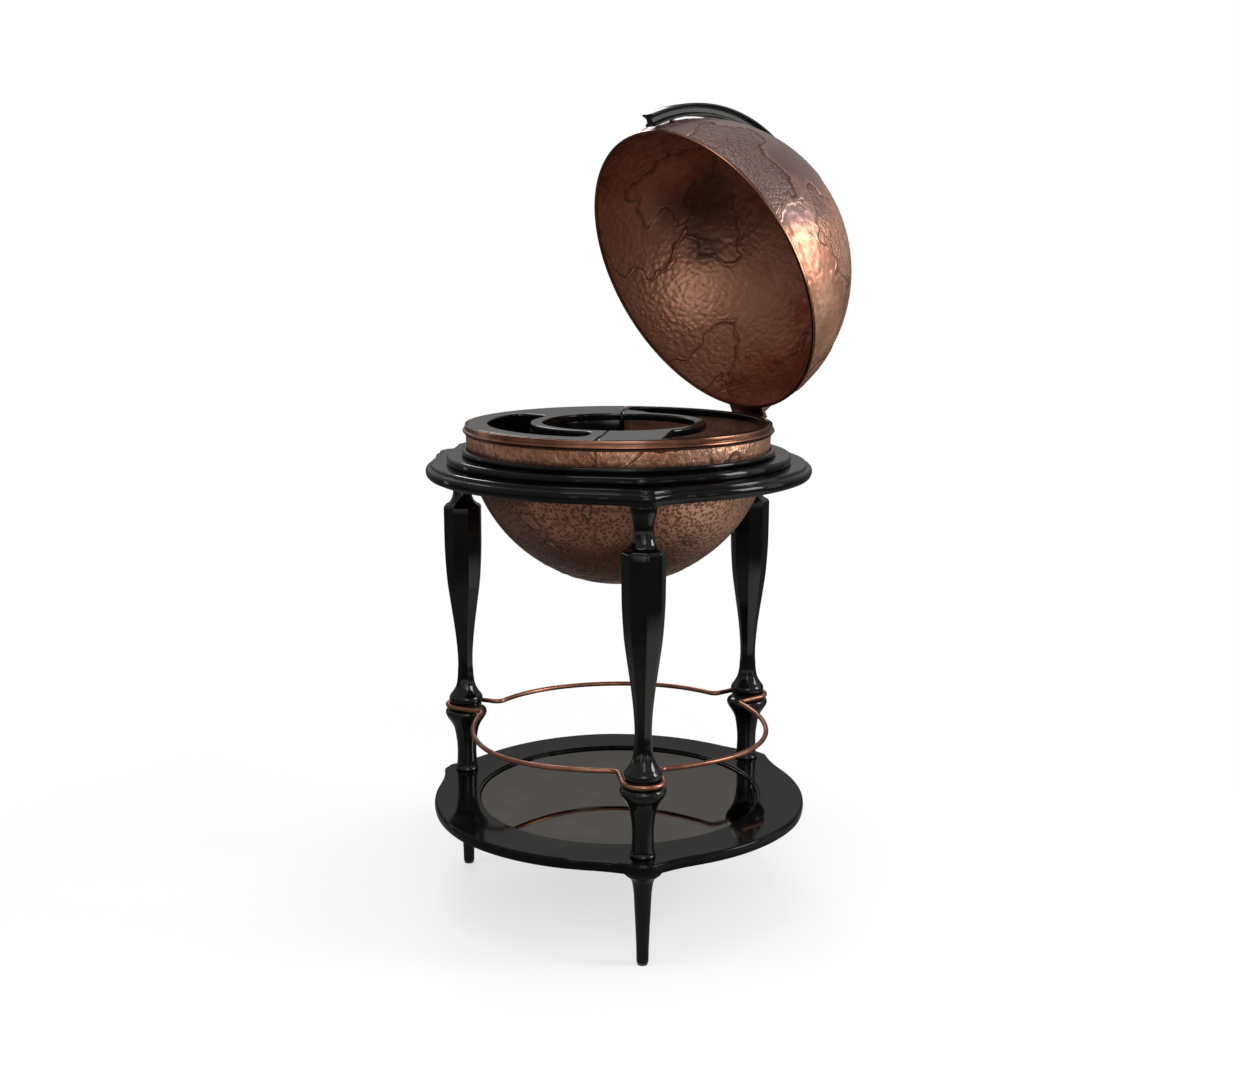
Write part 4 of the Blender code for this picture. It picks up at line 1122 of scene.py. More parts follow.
class Workshop:
    """Places finished pieces on the frame's bodies."""

    def __init__(self, frame: dict) -> None:
        """Reads the places that every sub-assembly follows.
        """
        self.nodes = frame["nodes"]
        low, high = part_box("bowl")
        self.axis = Vector(((low[0] + high[0]) / 2.0, (low[1] + high[1]) / 2.0, 0.0))
        joint = frame["joints"][0]
        self.hinge = Vector(joint["pos_m"])
        opening = -math.radians(joint["range_deg"][1])
        self.to_open = (
            Matrix.Translation(self.hinge)
            @ Matrix.Rotation(opening, 4, "X")
            @ Matrix.Translation(-self.hinge)
        )

    def set_up(
        self,
        name: str,
        mesh: bpy.types.Mesh,
        finish: Finish,
        body: Body,
        nodes: Sequence[str],
        centred: bool = True,
    ) -> bpy.types.Object:
        """Adds one piece that stands for CAD nodes.

        Args:
            name: The piece's name.
            mesh: Its mesh, about the globe's axis where centred, with the lid closed.
            finish: Its finish.
            body: The body it rides on.
            nodes: The nodes that it stands for.
            centred: False where the mesh is in the frame's own coordinates, lid open.

        Returns:
            The piece.
        """
        if centred:
            mesh.transform(Matrix.Translation(self.axis))
            if body is Body.LID:
                mesh.transform(self.to_open)
        if not mesh.materials:
            mesh.materials.append(finish.material())
        piece = linked(name, mesh)
        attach(piece, body.value)
        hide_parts(*nodes)
        LOG.info("%s: %d faces on %s", name, len(mesh.polygons), body.value)
        return piece

    def refine(self, node: str, finish: Finish, body: Body, edge: float) -> bpy.types.Object:
        """Replaces a CAD node with a copy whose edges are rounded.

        Args:
            node: The node.
            finish: Its finish.
            body: The body it rides on.
            edge: The width of the rounding.

        Returns:
            The piece.
        """
        build = bmesh.new()
        build.from_mesh(self.nodes[node].data)
        bmesh.ops.remove_doubles(build, verts=build.verts, dist=CAD_MERGE_DISTANCE)
        bmesh.ops.dissolve_limit(
            build, angle_limit=CAD_FLAT, verts=build.verts, edges=build.edges
        )
        mesh = bpy.data.meshes.new(f"{node}_fine")
        build.to_mesh(mesh)
        build.free()
        holder = linked(f"{node}_holder", mesh)
        bevel = holder.modifiers.new("edge", "BEVEL")
        bevel.width = edge
        bevel.segments = CAD_EDGE_STEPS
        bevel.limit_method = "ANGLE"
        bevel.angle_limit = CAD_CORNER
        shaped = baked(holder)
        shaped.shade_smooth()
        shaped.set_sharp_from_angle(angle=CAD_SHARP)
        shaped.materials.clear()
        return self.set_up(f"{node}_fine", shaped, finish, body, [node], centred=False)

    def dress(self, names: Iterable[str], finish: Finish) -> None:
        """Gives CAD nodes whose shape is right their finish.

        Args:
            names: The nodes.
            finish: The finish.
        """
        for name in names:
            for slot in self.nodes[name].material_slots:
                slot.material = finish.material()
            LOG.info("%s: finish %s", name, finish.name)


class GeometryTree:
    """A Geometry Nodes tree with named inputs, applied to a mesh."""

    def __init__(self, name: str, inputs: dict[str, str]) -> None:
        """Makes the tree and its inputs.

        Args:
            name: The tree's name.
            inputs: Socket type of each input after the geometry, by its name.
        """
        self.tree = bpy.data.node_groups.new(name, "GeometryNodeTree")
        self.graph = Graph(self.tree)
        self.keys = {}
        face = self.tree.interface
        face.new_socket(name="Geometry", in_out="INPUT", socket_type="NodeSocketGeometry")
        for label, kind in inputs.items():
            self.keys[label] = face.new_socket(name=label, in_out="INPUT", socket_type=kind).identifier
        face.new_socket(name="Geometry", in_out="OUTPUT", socket_type="NodeSocketGeometry")
        self.entry = self.tree.nodes.new("NodeGroupInput")

    def __getitem__(self, label: str) -> Value:
        """An input by its name."""
        return Value(self.graph, self.entry.outputs[label])

    def finish(self, geometry: Value, material: Value) -> None:
        """Realizes instances, sets the material and ends the tree.

        Args:
            geometry: What the tree has made.
            material: The material to set.
        """
        solid = self.graph.add("GeometryNodeRealizeInstances", {}, {"Geometry": geometry})
        dressed = self.graph.add("GeometryNodeSetMaterial", {}, {"Geometry": solid, "Material": material})
        leave = self.tree.nodes.new("NodeGroupOutput")
        self.tree.links.new(dressed.socket, leave.inputs["Geometry"])

    def apply(self, mesh: bpy.types.Mesh, values: dict[str, object]) -> bpy.types.Mesh:
        """Runs the tree on a mesh.

        Args:
            mesh: The mesh it starts from.
            values: The inputs, by name.

        Returns:
            The plain result.
        """
        holder = linked(mesh.name, mesh)
        step = holder.modifiers.new(self.tree.name, "NODES")
        step.node_group = self.tree
        for label, value in values.items():
            step[self.keys[label]] = value
        return baked(holder)


@dataclass(frozen=True)
class Relief:
    """Land chased into a round copper shell: the inputs of the relief tree.

    The land keeps off the mouth, a seat round the shell and a quiet patch under the hinge.
    """

    centre: Place
    feature_scale: float
    seed: float
    level: float
    land_height: float
    line_height: float
    mouth: float
    side: float
    fade: float
    quiet_centre: Place
    quiet_reach: float
    seat_low: float = 0.0
    seat_high: float = 0.0

    def chase(self, mesh: bpy.types.Mesh, finish: Finish) -> bpy.types.Mesh:
        """Chases the land into a mesh."""
        values = {field.name: getattr(self, field.name) for field in fields(self)}
        return relief_tree().apply(mesh, {**values, "material": finish.material()})


def relief_tree() -> GeometryTree:
    """The tree that chases raised land into a copper shell and stores its shore lines.

    Returns:
        The tree.
    """
    inputs = {field.name: "NodeSocketFloat" for field in fields(Relief)}
    inputs.update(centre="NodeSocketVector", quiet_centre="NodeSocketVector")
    made = GeometryTree("chased_relief", {**inputs, "material": "NodeSocketMaterial"})
    graph = made.graph
    place = graph.add("GeometryNodeInputPosition")
    outward = graph.vector("NORMALIZE", graph.vector("SUBTRACT", place, made["centre"]), (0.0, 0.0, 0.0))
    coast = graph.add(
        "ShaderNodeTexNoise",
        {"noise_dimensions": "4D"},
        {
            "Vector": place,
            "W": made["seed"],
            "Scale": made["feature_scale"],
            "Detail": COAST_DETAIL,
            "Roughness": COAST_ROUGHNESS,
            "Distortion": COAST_DISTORTION,
        },
    )
    shore = coast - made["level"]
    land = graph.smooth(shore, *LAND_RISE)
    line = 1.0 - graph.smooth(abs(shore), *SHORE_FALL)
    height = graph.add("ShaderNodeSeparateXYZ", {}, {0: place}, "Z")
    inside = graph.smooth((height - made["mouth"]) * made["side"], 0.0, made["fade"])
    above = graph.smooth(height, made["seat_high"], made["seat_high"] + SEAT_FADE)
    below = 1.0 - graph.smooth(height, made["seat_low"] - SEAT_FADE, made["seat_low"])
    away = graph.vector("DISTANCE", place, made["quiet_centre"], "Value")
    quiet = graph.smooth(away, made["quiet_reach"] * QUIET_CORE, made["quiet_reach"])
    mask = inside * above.most(below) * quiet
    lift = (land * made["land_height"] + line * made["line_height"]) * mask
    offset = graph.add("ShaderNodeVectorMath", {"operation": "SCALE"}, {0: outward, "Scale": lift})
    moved = graph.add("GeometryNodeSetPosition", {}, {"Geometry": made["Geometry"], "Offset": offset})
    stored = graph.add(
        "GeometryNodeStoreNamedAttribute",
        {"data_type": "FLOAT", "domain": "POINT"},
        {"Geometry": moved, "Name": "shore", "Value": shore},
    )
    made.finish(stored, made["material"])
    return made


def copies_tree() -> GeometryTree:
    """The tree that sets a copy of one object at each point, aimed along the attribute aim.

    Returns:
        The tree.
    """
    made = GeometryTree("aimed_copies", {"copy": "NodeSocketObject", "material": "NodeSocketMaterial"})
    graph = made.graph
    space = {"transform_space": "ORIGINAL"}
    single = graph.add("GeometryNodeObjectInfo", space, {0: made["copy"]}, "Geometry")
    aim = graph.add("GeometryNodeInputNamedAttribute", {"data_type": "FLOAT_VECTOR"}, {"Name": "aim"})
    turn = graph.add("FunctionNodeAlignRotationToVector", {"axis": "Z"}, {"Vector": aim})
    copies = graph.add(
        "GeometryNodeInstanceOnPoints",
        {},
        {"Points": made["Geometry"], "Instance": single, "Rotation": turn},
    )
    made.finish(copies, made["material"])
    return made


def aimed_points(name: str, places: Sequence[Place], aims: Sequence[Place]) -> bpy.types.Mesh:
    """A mesh of loose points that carry an aim.

    Args:
        name: Its name.
        places: The points.
        aims: The directions, one for each point.

    Returns:
        The mesh.
    """
    mesh = bpy.data.meshes.new(name)
    mesh.from_pydata(places, [], [])
    layer = mesh.attributes.new("aim", "FLOAT_VECTOR", "POINT")
    for item, aim in zip(layer.data, aims):
        item.vector = aim
    return mesh


def copied(name: str, single: bpy.types.Mesh, points: bpy.types.Mesh, finish: Finish) -> bpy.types.Mesh:
    """One mesh with a copy of a small piece at each point.

    Args:
        name: The result's name.
        single: The piece, along +Z.
        points: Where the copies go.
        finish: Their finish.

    Returns:
        The mesh.
    """
    master = linked(f"{name}_master", single)
    result = copies_tree().apply(points, {"copy": master, "material": finish.material()})
    bpy.data.objects.remove(master)
    return result


@dataclass(frozen=True)
class Lobe:
    """A round outline with a small flat and long coves at each leg, and a swell between legs."""

    round_radius: float
    corner_radius: float
    swell: float
    flat_width: float = 0.020
    first_angle: float = math.radians(-30.0)
    count: int = 3
    flare_angle: float = math.radians(17.0)
    flare_power: float = 2.4
    swell_power: float = 1.5
    flare_steps: int = 18
    swell_steps: int = 30
    flare_spread: float = 1.5

    def flat_angle(self) -> float:
        """Half of the angle that a flat spans."""
        return math.asin(self.flat_width / 2.0 / self.corner_radius)

    def angles(self) -> list[float]:
        """Plan angles of the outline's points, closer together near the flats.

        Returns:
            The angles.
        """
        half = math.pi / self.count
        flat = self.flat_angle()
        flare = self.flare_angle - flat
        shares = [(k / self.flare_steps) ** self.flare_spread for k in range(self.flare_steps)]
        side = [flat + flare * share for share in shares]
        rest = half - self.flare_angle
        side += [self.flare_angle + rest * k / self.swell_steps for k in range(self.swell_steps + 1)]
        offsets = [-offset for offset in reversed(side)][1:] + [0.0] + side
        legs = [self.first_angle + 2.0 * half * leg for leg in range(self.count)]
        return [leg + offset for leg in legs for offset in offsets]

    def radius(self, angle: float) -> float:
        """The outline's radius at an angle.

        Args:
            angle: The plan angle.

        Returns:
            The radius.
        """
        flat = self.flat_angle()
        half = math.pi / self.count
        offset = abs((angle - self.first_angle + half) % (2.0 * half) - half)
        if offset <= flat:
            return self.corner_radius * math.cos(flat) / math.cos(offset)
        cove = max(1.0 - (offset - flat) / (self.flare_angle - flat), 0.0) ** self.flare_power
        midway = max(offset - self.flare_angle, 0.0) / (half - self.flare_angle)
        rise = (self.corner_radius - self.round_radius) * cove
        return self.round_radius + rise + self.swell * midway**self.swell_power

    def ring(self, inset: float, height: float) -> list[Place]:
        """The outline, drawn in and set at a height."""
        return [(*polar(self.radius(angle) - inset, angle), height) for angle in self.angles()]

    def round(self, radius: float, height: float) -> list[Place]:
        """A circle whose points match the outline's."""
        return [(*polar(radius, angle), height) for angle in self.angles()]


@dataclass
class Legs:
    """The three legs, from their feet to the apron ring."""

    names: tuple[str, ...] = ("front_right", "back", "front_left")
    circle_radius: float = 0.300
    first_angle: float = math.radians(-30.0)
    foot_radius: float = 0.0305
    foot_low: float = 0.0033
    foot_high: float = 0.1637
    base_radius: float = 0.037
    base_low: float = 0.1818
    base_high: float = 0.3098
    shaft_radius: float = 0.0347
    shaft_low: float = 0.3101
    shaft_high: float = 0.7427
    hole_radius: float = 0.0045
    steps: int = 96
    shaft_flow: int = 5
    faces: int = 8
    edge_base: float = 0.5
    edge_slope: float = 0.4955
    foot_shares: tuple[Plan, ...] = (
        (0.000, 0.290), (0.010, 0.315), (0.155, 0.330), (0.350, 0.370), (0.510, 0.413),
        (0.680, 0.455), (0.740, 0.475), (0.810, 0.520), (0.855, 0.570), (0.885, 0.650),
        (0.910, 0.770), (0.930, 0.900), (0.945, 0.985), (0.960, 1.000), (1.000, 1.000),
    )
    base_shares: tuple[Plan, ...] = (
        (0.000, 0.535), (0.012, 0.550), (0.030, 0.545), (0.045, 0.520), (0.090, 0.490),
        (0.200, 0.470), (0.300, 0.463), (0.400, 0.480), (0.475, 0.510), (0.560, 0.555),
        (0.640, 0.625), (0.720, 0.770), (0.790, 0.930), (0.830, 0.990), (0.860, 1.000),
        (0.890, 0.960), (0.912, 0.860), (0.925, 0.757), (1.000, 0.757),
    )
    shaft_shares: tuple[tuple[float, float, float], ...] = (
        (0.0000, 0.800, 1.0), (0.0060, 0.856, 1.0), (0.0200, 0.862, 1.0), (0.0270, 0.830, 1.0),
        (0.0350, 0.760, 1.0), (0.0430, 0.690, 0.9), (0.0680, 0.530, 0.5), (0.0960, 0.455, 0.2),
        (0.1300, 0.420, 0.1), (0.1680, 0.395, 0.0), (0.2230, 0.420, 0.0), (0.2970, 0.505, 0.0),
        (0.3700, 0.625, 0.0), (0.4430, 0.757, 0.0), (0.5160, 0.878, 0.0), (0.6000, 0.955, 0.0),
        (0.6680, 0.988, 0.0), (0.8260, 1.000, 0.0), (0.8300, 0.985, 0.0), (0.8370, 0.910, 0.2),
        (0.8460, 0.710, 0.4), (0.8640, 0.545, 0.8), (0.8900, 0.467, 1.0), (0.9190, 0.456, 1.0),
        (0.9490, 0.520, 1.0), (0.9740, 0.600, 1.0), (1.0000, 0.610, 1.0),
    )

    @staticmethod
    def scaled(shares: Sequence[tuple[float, ...]], radius: float, low: float, high: float) -> list[Plan]:
        """Profile points from rows that start with a height share and a radius share."""
        return [(radius * row[1], low + (high - low) * row[0]) for row in shares]

    def foot(self) -> bpy.types.Mesh:
        """A turned foot with its collar."""
        line = flow(self.scaled(self.foot_shares, self.foot_radius, self.foot_low, self.foot_high))
        return turned("foot", [(0.0, self.foot_low), *line, (0.0, self.foot_high)], self.steps)

    def base(self) -> bpy.types.Mesh:
        """The turned vase between shelf and rail.

        Returns:
            The mesh.
        """
        line = flow(self.scaled(self.base_shares, self.base_radius, self.base_low, self.base_high))
        profile = [(self.hole_radius, self.base_low), *line, (self.hole_radius, self.base_high)]
        return turned("leg_base", profile, self.steps, closed=True)

    def roundness(self, rise: float) -> float:
        """How round the shaft is at a height share: 1 for a circle and 0 for an octagon.

        Args:
            rise: The height share.

        Returns:
            The roundness.
        """
        for (low, _, first), (high, _, second) in zip(self.shaft_shares, self.shaft_shares[1:]):
            if low <= rise <= high:
                return first + (second - first) * (rise - low) / (high - low)
        return 1.0

    def section(self, radius: float, rise: float, height: float) -> list[Place]:
        """One section of the shaft, with soft edges between its eight faces.

        Args:
            radius: The radius to a face's edge.
            rise: The height share.
            height: The section's height.

        Returns:
            The section's points.
        """
        half = math.pi / self.faces
        roundness = self.roundness(rise)
        points = []
        for k in range(self.steps):
            angle = FULL_TURN * k / self.steps
            off_face = (angle + half * 2.0) % (half * 2.0) - half
            face = math.cos(half) / math.cos(off_face)
            soft = min(face, self.edge_base + face * self.edge_slope)
            points.append((*polar(radius * (soft + (1.0 - soft) * roundness), angle), height))
        return points

    def shaft(self) -> bpy.types.Mesh:
        """The eight-sided baluster with its round bell and neck.

        Returns:
            The mesh.
        """
        height = self.shaft_high - self.shaft_low
        line = self.scaled(self.shaft_shares, self.shaft_radius, self.shaft_low, self.shaft_high)
        rings = [circle(self.hole_radius, self.shaft_low, self.steps)]
        for radius, level in flow(line, self.shaft_flow):
            rings.append(self.section(radius, (level - self.shaft_low) / height, level))
        rings.append(circle(self.hole_radius, self.shaft_high, self.steps))
        return skinned("leg_shaft", rings)

    def build(self, shop: Workshop) -> None:
        """Sets up the three legs.

        Args:
            shop: The workshop that sets pieces up.
        """
        for index, name in enumerate(self.names):
            angle = self.first_angle + FULL_TURN * index / len(self.names)
            shift = Matrix.Translation((*polar(self.circle_radius, angle), 0.0))
            for part, make in (("foot", self.foot), ("leg_base", self.base), ("leg_shaft", self.shaft)):
                mesh = make()
                mesh.transform(shift @ Matrix.Rotation(angle, 4, "Z"))
                node = f"{part}_{name}"
                shop.set_up(f"{node}_turned", mesh, LACQUER, Body.STAND, [node])
        shop.dress([f"glide_{name}" for name in self.names], FELT)
        shop.dress([f"{part}_{name}" for part in ("tie_rod", "ring_stud") for name in self.names], STEEL)


@dataclass
class Rail:
    """The copper rail that clasps the legs' necks."""

    height: float = 0.305
    radius: float = 0.0042
    arc_radius: float = 0.2505
    arc_swell: float = 0.007
    sag: float = 0.0035
    bend_radius: float = 0.015
    leg_circle: float = 0.300
    wrap_radius: float = 0.0328
    first_angle: float = math.radians(-30.0)
    legs: int = 3
    sides: int = 20
    arc_steps: int = 60
    bend_steps: int = 8
    wrap_steps: int = 36

    def path(self) -> list[Place]:
        """The rail's centre line: slack arcs between clasps.

        Returns:
            The line's points.
        """
        bend_side = self.wrap_radius + self.bend_radius
        bend_out = math.sqrt((self.arc_radius + self.bend_radius) ** 2 - bend_side**2)
        bend_turn = math.atan2(bend_out, bend_side)
        spacing = FULL_TURN / self.legs
        bend = []
        for k in range(self.bend_steps + 1):
            turn = bend_turn * (1.0 - k / self.bend_steps)
            side = bend_side - self.bend_radius * math.cos(turn)
            bend.append((side, bend_out - self.bend_radius * math.sin(turn)))
        wrap = []
        for k in range(self.wrap_steps + 1):
            turn = math.pi * (1.0 - k / self.wrap_steps)
            reach = self.leg_circle + self.wrap_radius * math.sin(turn)
            wrap.append((self.wrap_radius * math.cos(turn), reach))
        clasp = [(-side, out) for side, out in bend] + wrap + [(side, out) for side, out in reversed(bend)]
        half = math.atan2(bend[0][0], bend[0][1])
        points = []
        for index in range(self.legs):
            along = self.first_angle + spacing * index
            for side, out in clasp:
                x = out * math.cos(along) - side * math.sin(along)
                points.append((x, out * math.sin(along) + side * math.cos(along), self.height))
            for k in range(1, self.arc_steps):
                angle = along + half + (spacing - 2.0 * half) * k / self.arc_steps
                ease = math.sin(math.pi * k / self.arc_steps) ** 2
                place = polar(self.arc_radius + self.arc_swell * ease, angle)
                points.append((*place, self.height - self.sag * ease))
        return points

    def build(self, shop: Workshop) -> None:
        """Sets up the rail.

        Args:
            shop: The workshop that sets pieces up.
        """
        path = self.path()
        rings = []
        for k, (x, y, z) in enumerate(path):
            before = path[k - 1]
            after = path[(k + 1) % len(path)]
            heading = math.atan2(after[1] - before[1], after[0] - before[0])
            ring = []
            for side in range(self.sides):
                turn = FULL_TURN * side / self.sides
                out = self.radius * math.cos(turn)
                place = (x + out * math.sin(heading), y - out * math.cos(heading))
                ring.append((*place, z + self.radius * math.sin(turn)))
            rings.append(ring)
        shop.set_up("rail_rod", skinned("rail_rod", rings, closed=True), ROD_COPPER, Body.STAND, ["rail"])


@dataclass
class Boards:
    """The shelf and its glass, and the rings that carry the globe."""

    shelf: Lobe = Lobe(0.3203, 0.3415, 0.0037)
    apron: Lobe = Lobe(0.3235, 0.3460, 0.0015)
    step: Lobe = Lobe(0.2890, 0.3020, 0.0015)
    shelf_low: float = 0.164
    shelf_high: float = 0.1815
    recess_radius: float = 0.2427
    lip_width: float = 0.0045
    lip_depth: float = 0.0022
    recess_depth: float = 0.0100
    glass_low: float = 0.1718
    glass_thickness: float = 0.0047
    glass_radius: float = 0.2410
    hole_radius: float = 0.2540
    apron_low: float = 0.743
    apron_high: float = 0.7680
    step_low: float = 0.7683
    step_high: float = 0.7813
    bead_radius: float = 0.0048
    bead_ring_radius: float = 0.2588
    bead_height: float = 0.7864
    shelf_shares: tuple[Plan, ...] = (
        (3.5, 0.0), (0.9, 0.06), (0.0, 0.33), (0.0, 0.62), (0.9, 0.86), (3.6, 1.0),
    )
    apron_shares: tuple[Plan, ...] = (
        (9.4, 0.0), (8.6, 0.02), (8.0, 0.055), (7.0, 0.055), (4.6, 0.080), (2.1, 0.18), (0.5, 0.32),
        (0.0, 0.46), (0.6, 0.60), (2.6, 0.72), (5.2, 0.765), (5.6, 0.790), (7.6, 0.790),
        (8.2, 0.83), (8.8, 0.90), (10.2, 0.97), (12.5, 1.0),
    )
    step_shares: tuple[Plan, ...] = (
        (3.4, 0.0), (1.0, 0.06), (0.0, 0.35), (0.2, 0.60), (1.2, 0.82), (2.6, 0.95), (4.2, 1.0),
    )
    millimetre: float = 0.001
    edge_flow: int = 4
    edge_ease: float = 0.0003
    glass_ease: float = 0.0006
    round_steps: int = 240
    bead_steps: int = 20

    def edge(self, lobe: Lobe, shares: Sequence[Plan], low: float, high: float) -> list[list[Place]]:
        """Rings of a moulded edge, from (inset in millimetres, height share)."""
        line = [(inset * self.millimetre, low + (high - low) * rise) for inset, rise in shares]
        return [lobe.ring(inset, level) for inset, level in flow(line, self.edge_flow, self.edge_ease)]

    def shelf_mesh(self) -> bpy.types.Mesh:
        """The shelf with its stepped recess.

        Returns:
            The mesh.
        """
        top = self.shelf_high
        lip = self.recess_radius + self.lip_width
        inner = flow(
            [
                (lip + self.lip_width, top),
                (lip, top),
                (lip, top - self.lip_depth),
                (self.recess_radius, top - self.lip_depth),
                (self.recess_radius, top - self.recess_depth),
                (self.recess_radius - self.lip_width, top - self.recess_depth),
            ]
        )
        rings = self.edge(self.shelf, self.shelf_shares, self.shelf_low, top)
        rings += [self.shelf.round(radius, level) for radius, level in inner]
        return skinned("shelf", rings)

    def ring_mesh(
        self, name: str, lobe: Lobe, shares: Sequence[Plan], low: float, high: float
    ) -> bpy.types.Mesh:
        """A moulded ring with a round hole.

        Args:
            name: Its name.
            lobe: The outline.
            shares: Rows of the edge: inset in millimetres and height share.
            low: Height of the underside.
            high: Height of the upper side.

        Returns:
            The mesh.
        """
        rings = [lobe.round(self.hole_radius, low), *self.edge(lobe, shares, low, high)]
        rings += [lobe.round(self.hole_radius + self.millimetre, high)]
        rings += [lobe.round(self.hole_radius, high - self.millimetre)]
        return skinned(name, rings, closed=True)

    def build(self, shop: Workshop) -> None:
        """Sets up the boards.

        Args:
            shop: The workshop that sets pieces up.
        """
        shop.set_up("shelf_moulded", self.shelf_mesh(), SHELF_LACQUER, Body.STAND, ["shelf_board"])
        low = self.glass_low
        high = low + self.glass_thickness
        line = [(0.0, low), (self.glass_radius, low), (self.glass_radius, high), (0.0, high)]
        pane = turned("shelf_pane", flow(line, self.edge_flow, self.glass_ease), self.round_steps)
        shop.set_up("shelf_pane", pane, GLASS, Body.STAND, ["shelf_glass"])
        apron = self.ring_mesh("apron", self.apron, self.apron_shares, self.apron_low, self.apron_high)
        shop.set_up("apron_moulded", apron, RING_LACQUER, Body.STAND, ["apron_ring"])
        step = self.ring_mesh("step", self.step, self.step_shares, self.step_low, self.step_high)
        shop.set_up("step_moulded", step, RING_LACQUER, Body.STAND, ["step_ring"])
        bead = []
        for k in range(self.bead_steps):
            out, up = polar(self.bead_radius, FULL_TURN * k / self.bead_steps)
            bead.append((self.bead_ring_radius + out, self.bead_height + up))
        ring = turned("seat_ring", bead, self.round_steps, closed=True)
        shop.set_up("seat_ring", ring, RING_LACQUER, Body.STAND, ["seat_bead"])


@dataclass
class Bowl:
    """The globe's lower half, its rim band and the boards and wells that it holds."""

    radius: float = 0.255
    centre: float = 0.815
    sheet: float = 0.002
    lip: float = 0.820
    band_low: float = 0.815
    band_high: float = 0.8316
    band_inner: float = 0.2556
    band_outer: float = 0.2576
    bead_bulge: float = 0.0037
    board_radius: float = 0.2545
    board_low: float = 0.8205
    board_high: float = 0.8325
    board_edge: float = 0.0024
    well_radius: float = 0.128
    pocket_inner: float = 0.148
    pocket_outer: float = 0.2195
    pocket_start: float = math.radians(196.0)
    pocket_end: float = math.radians(308.0)
    pocket_corner: float = 0.022
    bay_outer: float = 0.2440
    front_seam: float = math.radians(-45.0)
    back_seam: float = math.radians(140.0)
    seam_half: float = math.radians(0.26)
    bay_front_inner: float = math.radians(-1.0)
    bay_front_outer: float = math.radians(-21.5)
    bay_back_inner: float = math.radians(120.0)
    bay_back_outer: float = math.radians(133.0)
    bay_tip_shares: tuple[Plan, ...] = ((0.85, 0.35), (0.45, 0.43), (0.18, -0.45))
    under_boards: float = 0.8202
    liner_floor: float = 0.7222
    liner_wall: float = 0.0025
    well_wall: float = 0.0045
    well_low: float = 0.6233
    divider_thickness: float = 0.008
    divider_clear: float = 0.0003
    wall_edge: float = 0.0006
    lip_ease: float = 0.0004
    mouth_clear: float = 0.001
    band_ease: float = 0.0004
    band_flow: int = 4
    band_shares: tuple[Plan, ...] = (
        (0.0, 0.17), (0.72, 0.22), (1.0, 0.355), (0.72, 0.49), (0.0, 0.54), (0.05, 0.80),
        (-0.05, 1.0),
    )
    corner_steps: int = 16
    outer_steps: int = 480
    band_steps: int = 240
    rows: int = 104
    inner_rows: int = 52

    def relief(self) -> Relief:
        """The land on the bowl, clear of its seat in the ring and of the hinge.

        Returns:
            The relief.
        """
        return Relief(
            centre=(0.0, 0.0, self.centre),
            feature_scale=5.6,
            seed=4.0,
            level=0.585,
            land_height=0.0010,
            line_height=0.0005,
            mouth=self.band_low - self.mouth_clear,
            side=-1.0,
            fade=0.004,
            seat_low=0.742,
            seat_high=0.793,
            quiet_centre=(0.0, self.radius, self.band_low),
            quiet_reach=0.060,
        )

    def shell(self) -> bpy.types.Mesh:
        """The hammered bowl as one closed wall.

        Returns:
            The mesh.
        """
        inner = self.radius - self.sheet
        ease = self.lip_ease
        profile = ball_line(self.radius, self.centre, -QUARTER_TURN, 0.0, self.rows)
        profile += [(self.radius, self.lip - ease), (self.radius - ease, self.lip), (inner, self.lip)]
        profile += ball_line(inner, self.centre, 0.0, -QUARTER_TURN, self.inner_rows)
        plain = turned("bowl_plain", profile, self.outer_steps)
        mesh = self.relief().chase(plain, BOWL_COPPER)
        return line_inside(mesh, Vector((0.0, 0.0, self.centre)), WELL_COPPER)

    def band(self) -> bpy.types.Mesh:
        """The smooth rim band with its rolled bead.

        Returns:
            The mesh.
        """
        outer, low, height = self.band_outer, self.band_low, self.band_high - self.band_low
        line = [(self.band_inner, low), (outer, low)]
        line += [(outer + self.bead_bulge * out, low + height * rise) for out, rise in self.band_shares]
        line.append((self.band_inner, self.band_high))
        profile = flow(line, self.band_flow, self.band_ease, loop=True)
        return turned("rim_band", profile, self.band_steps, closed=True)

    def pocket(self, grow: float = 0.0) -> list[Plan]:
        """Plan outline of the curved pocket with round corners.

        Args:
            grow: How far the outline lies outside the pocket.

        Returns:
            The outline.
        """
        inner = self.pocket_inner - grow
        outer = self.pocket_outer + grow
        middle = (self.pocket_inner + self.pocket_outer) / 2.0
        start = self.pocket_start - grow / middle
        end = self.pocket_end + grow / middle
        corner = self.pocket_corner + grow
        outline = []
        for radius, edge, inward, first in (
            (outer - corner, start, 1.0, 2.0),
            (outer - corner, end, -1.0, 1.0),
            (inner + corner, end, -1.0, 0.0),
            (inner + corner, start, 1.0, -1.0),
        ):
            for k in range(self.corner_steps + 1):
                turn = QUARTER_TURN * (first - k / self.corner_steps)
                reach = radius + corner * math.sin(turn)
                outline.append(polar(reach, edge + (inward * corner + corner * math.cos(turn)) / reach))
            if first == 2.0:
                outline += arc(outer, start + corner / outer, end - corner / outer)[1:-1]
            if first == 0.0:
                outline += arc(inner, end - corner / inner, start + corner / inner)[1:-1]
        return outline

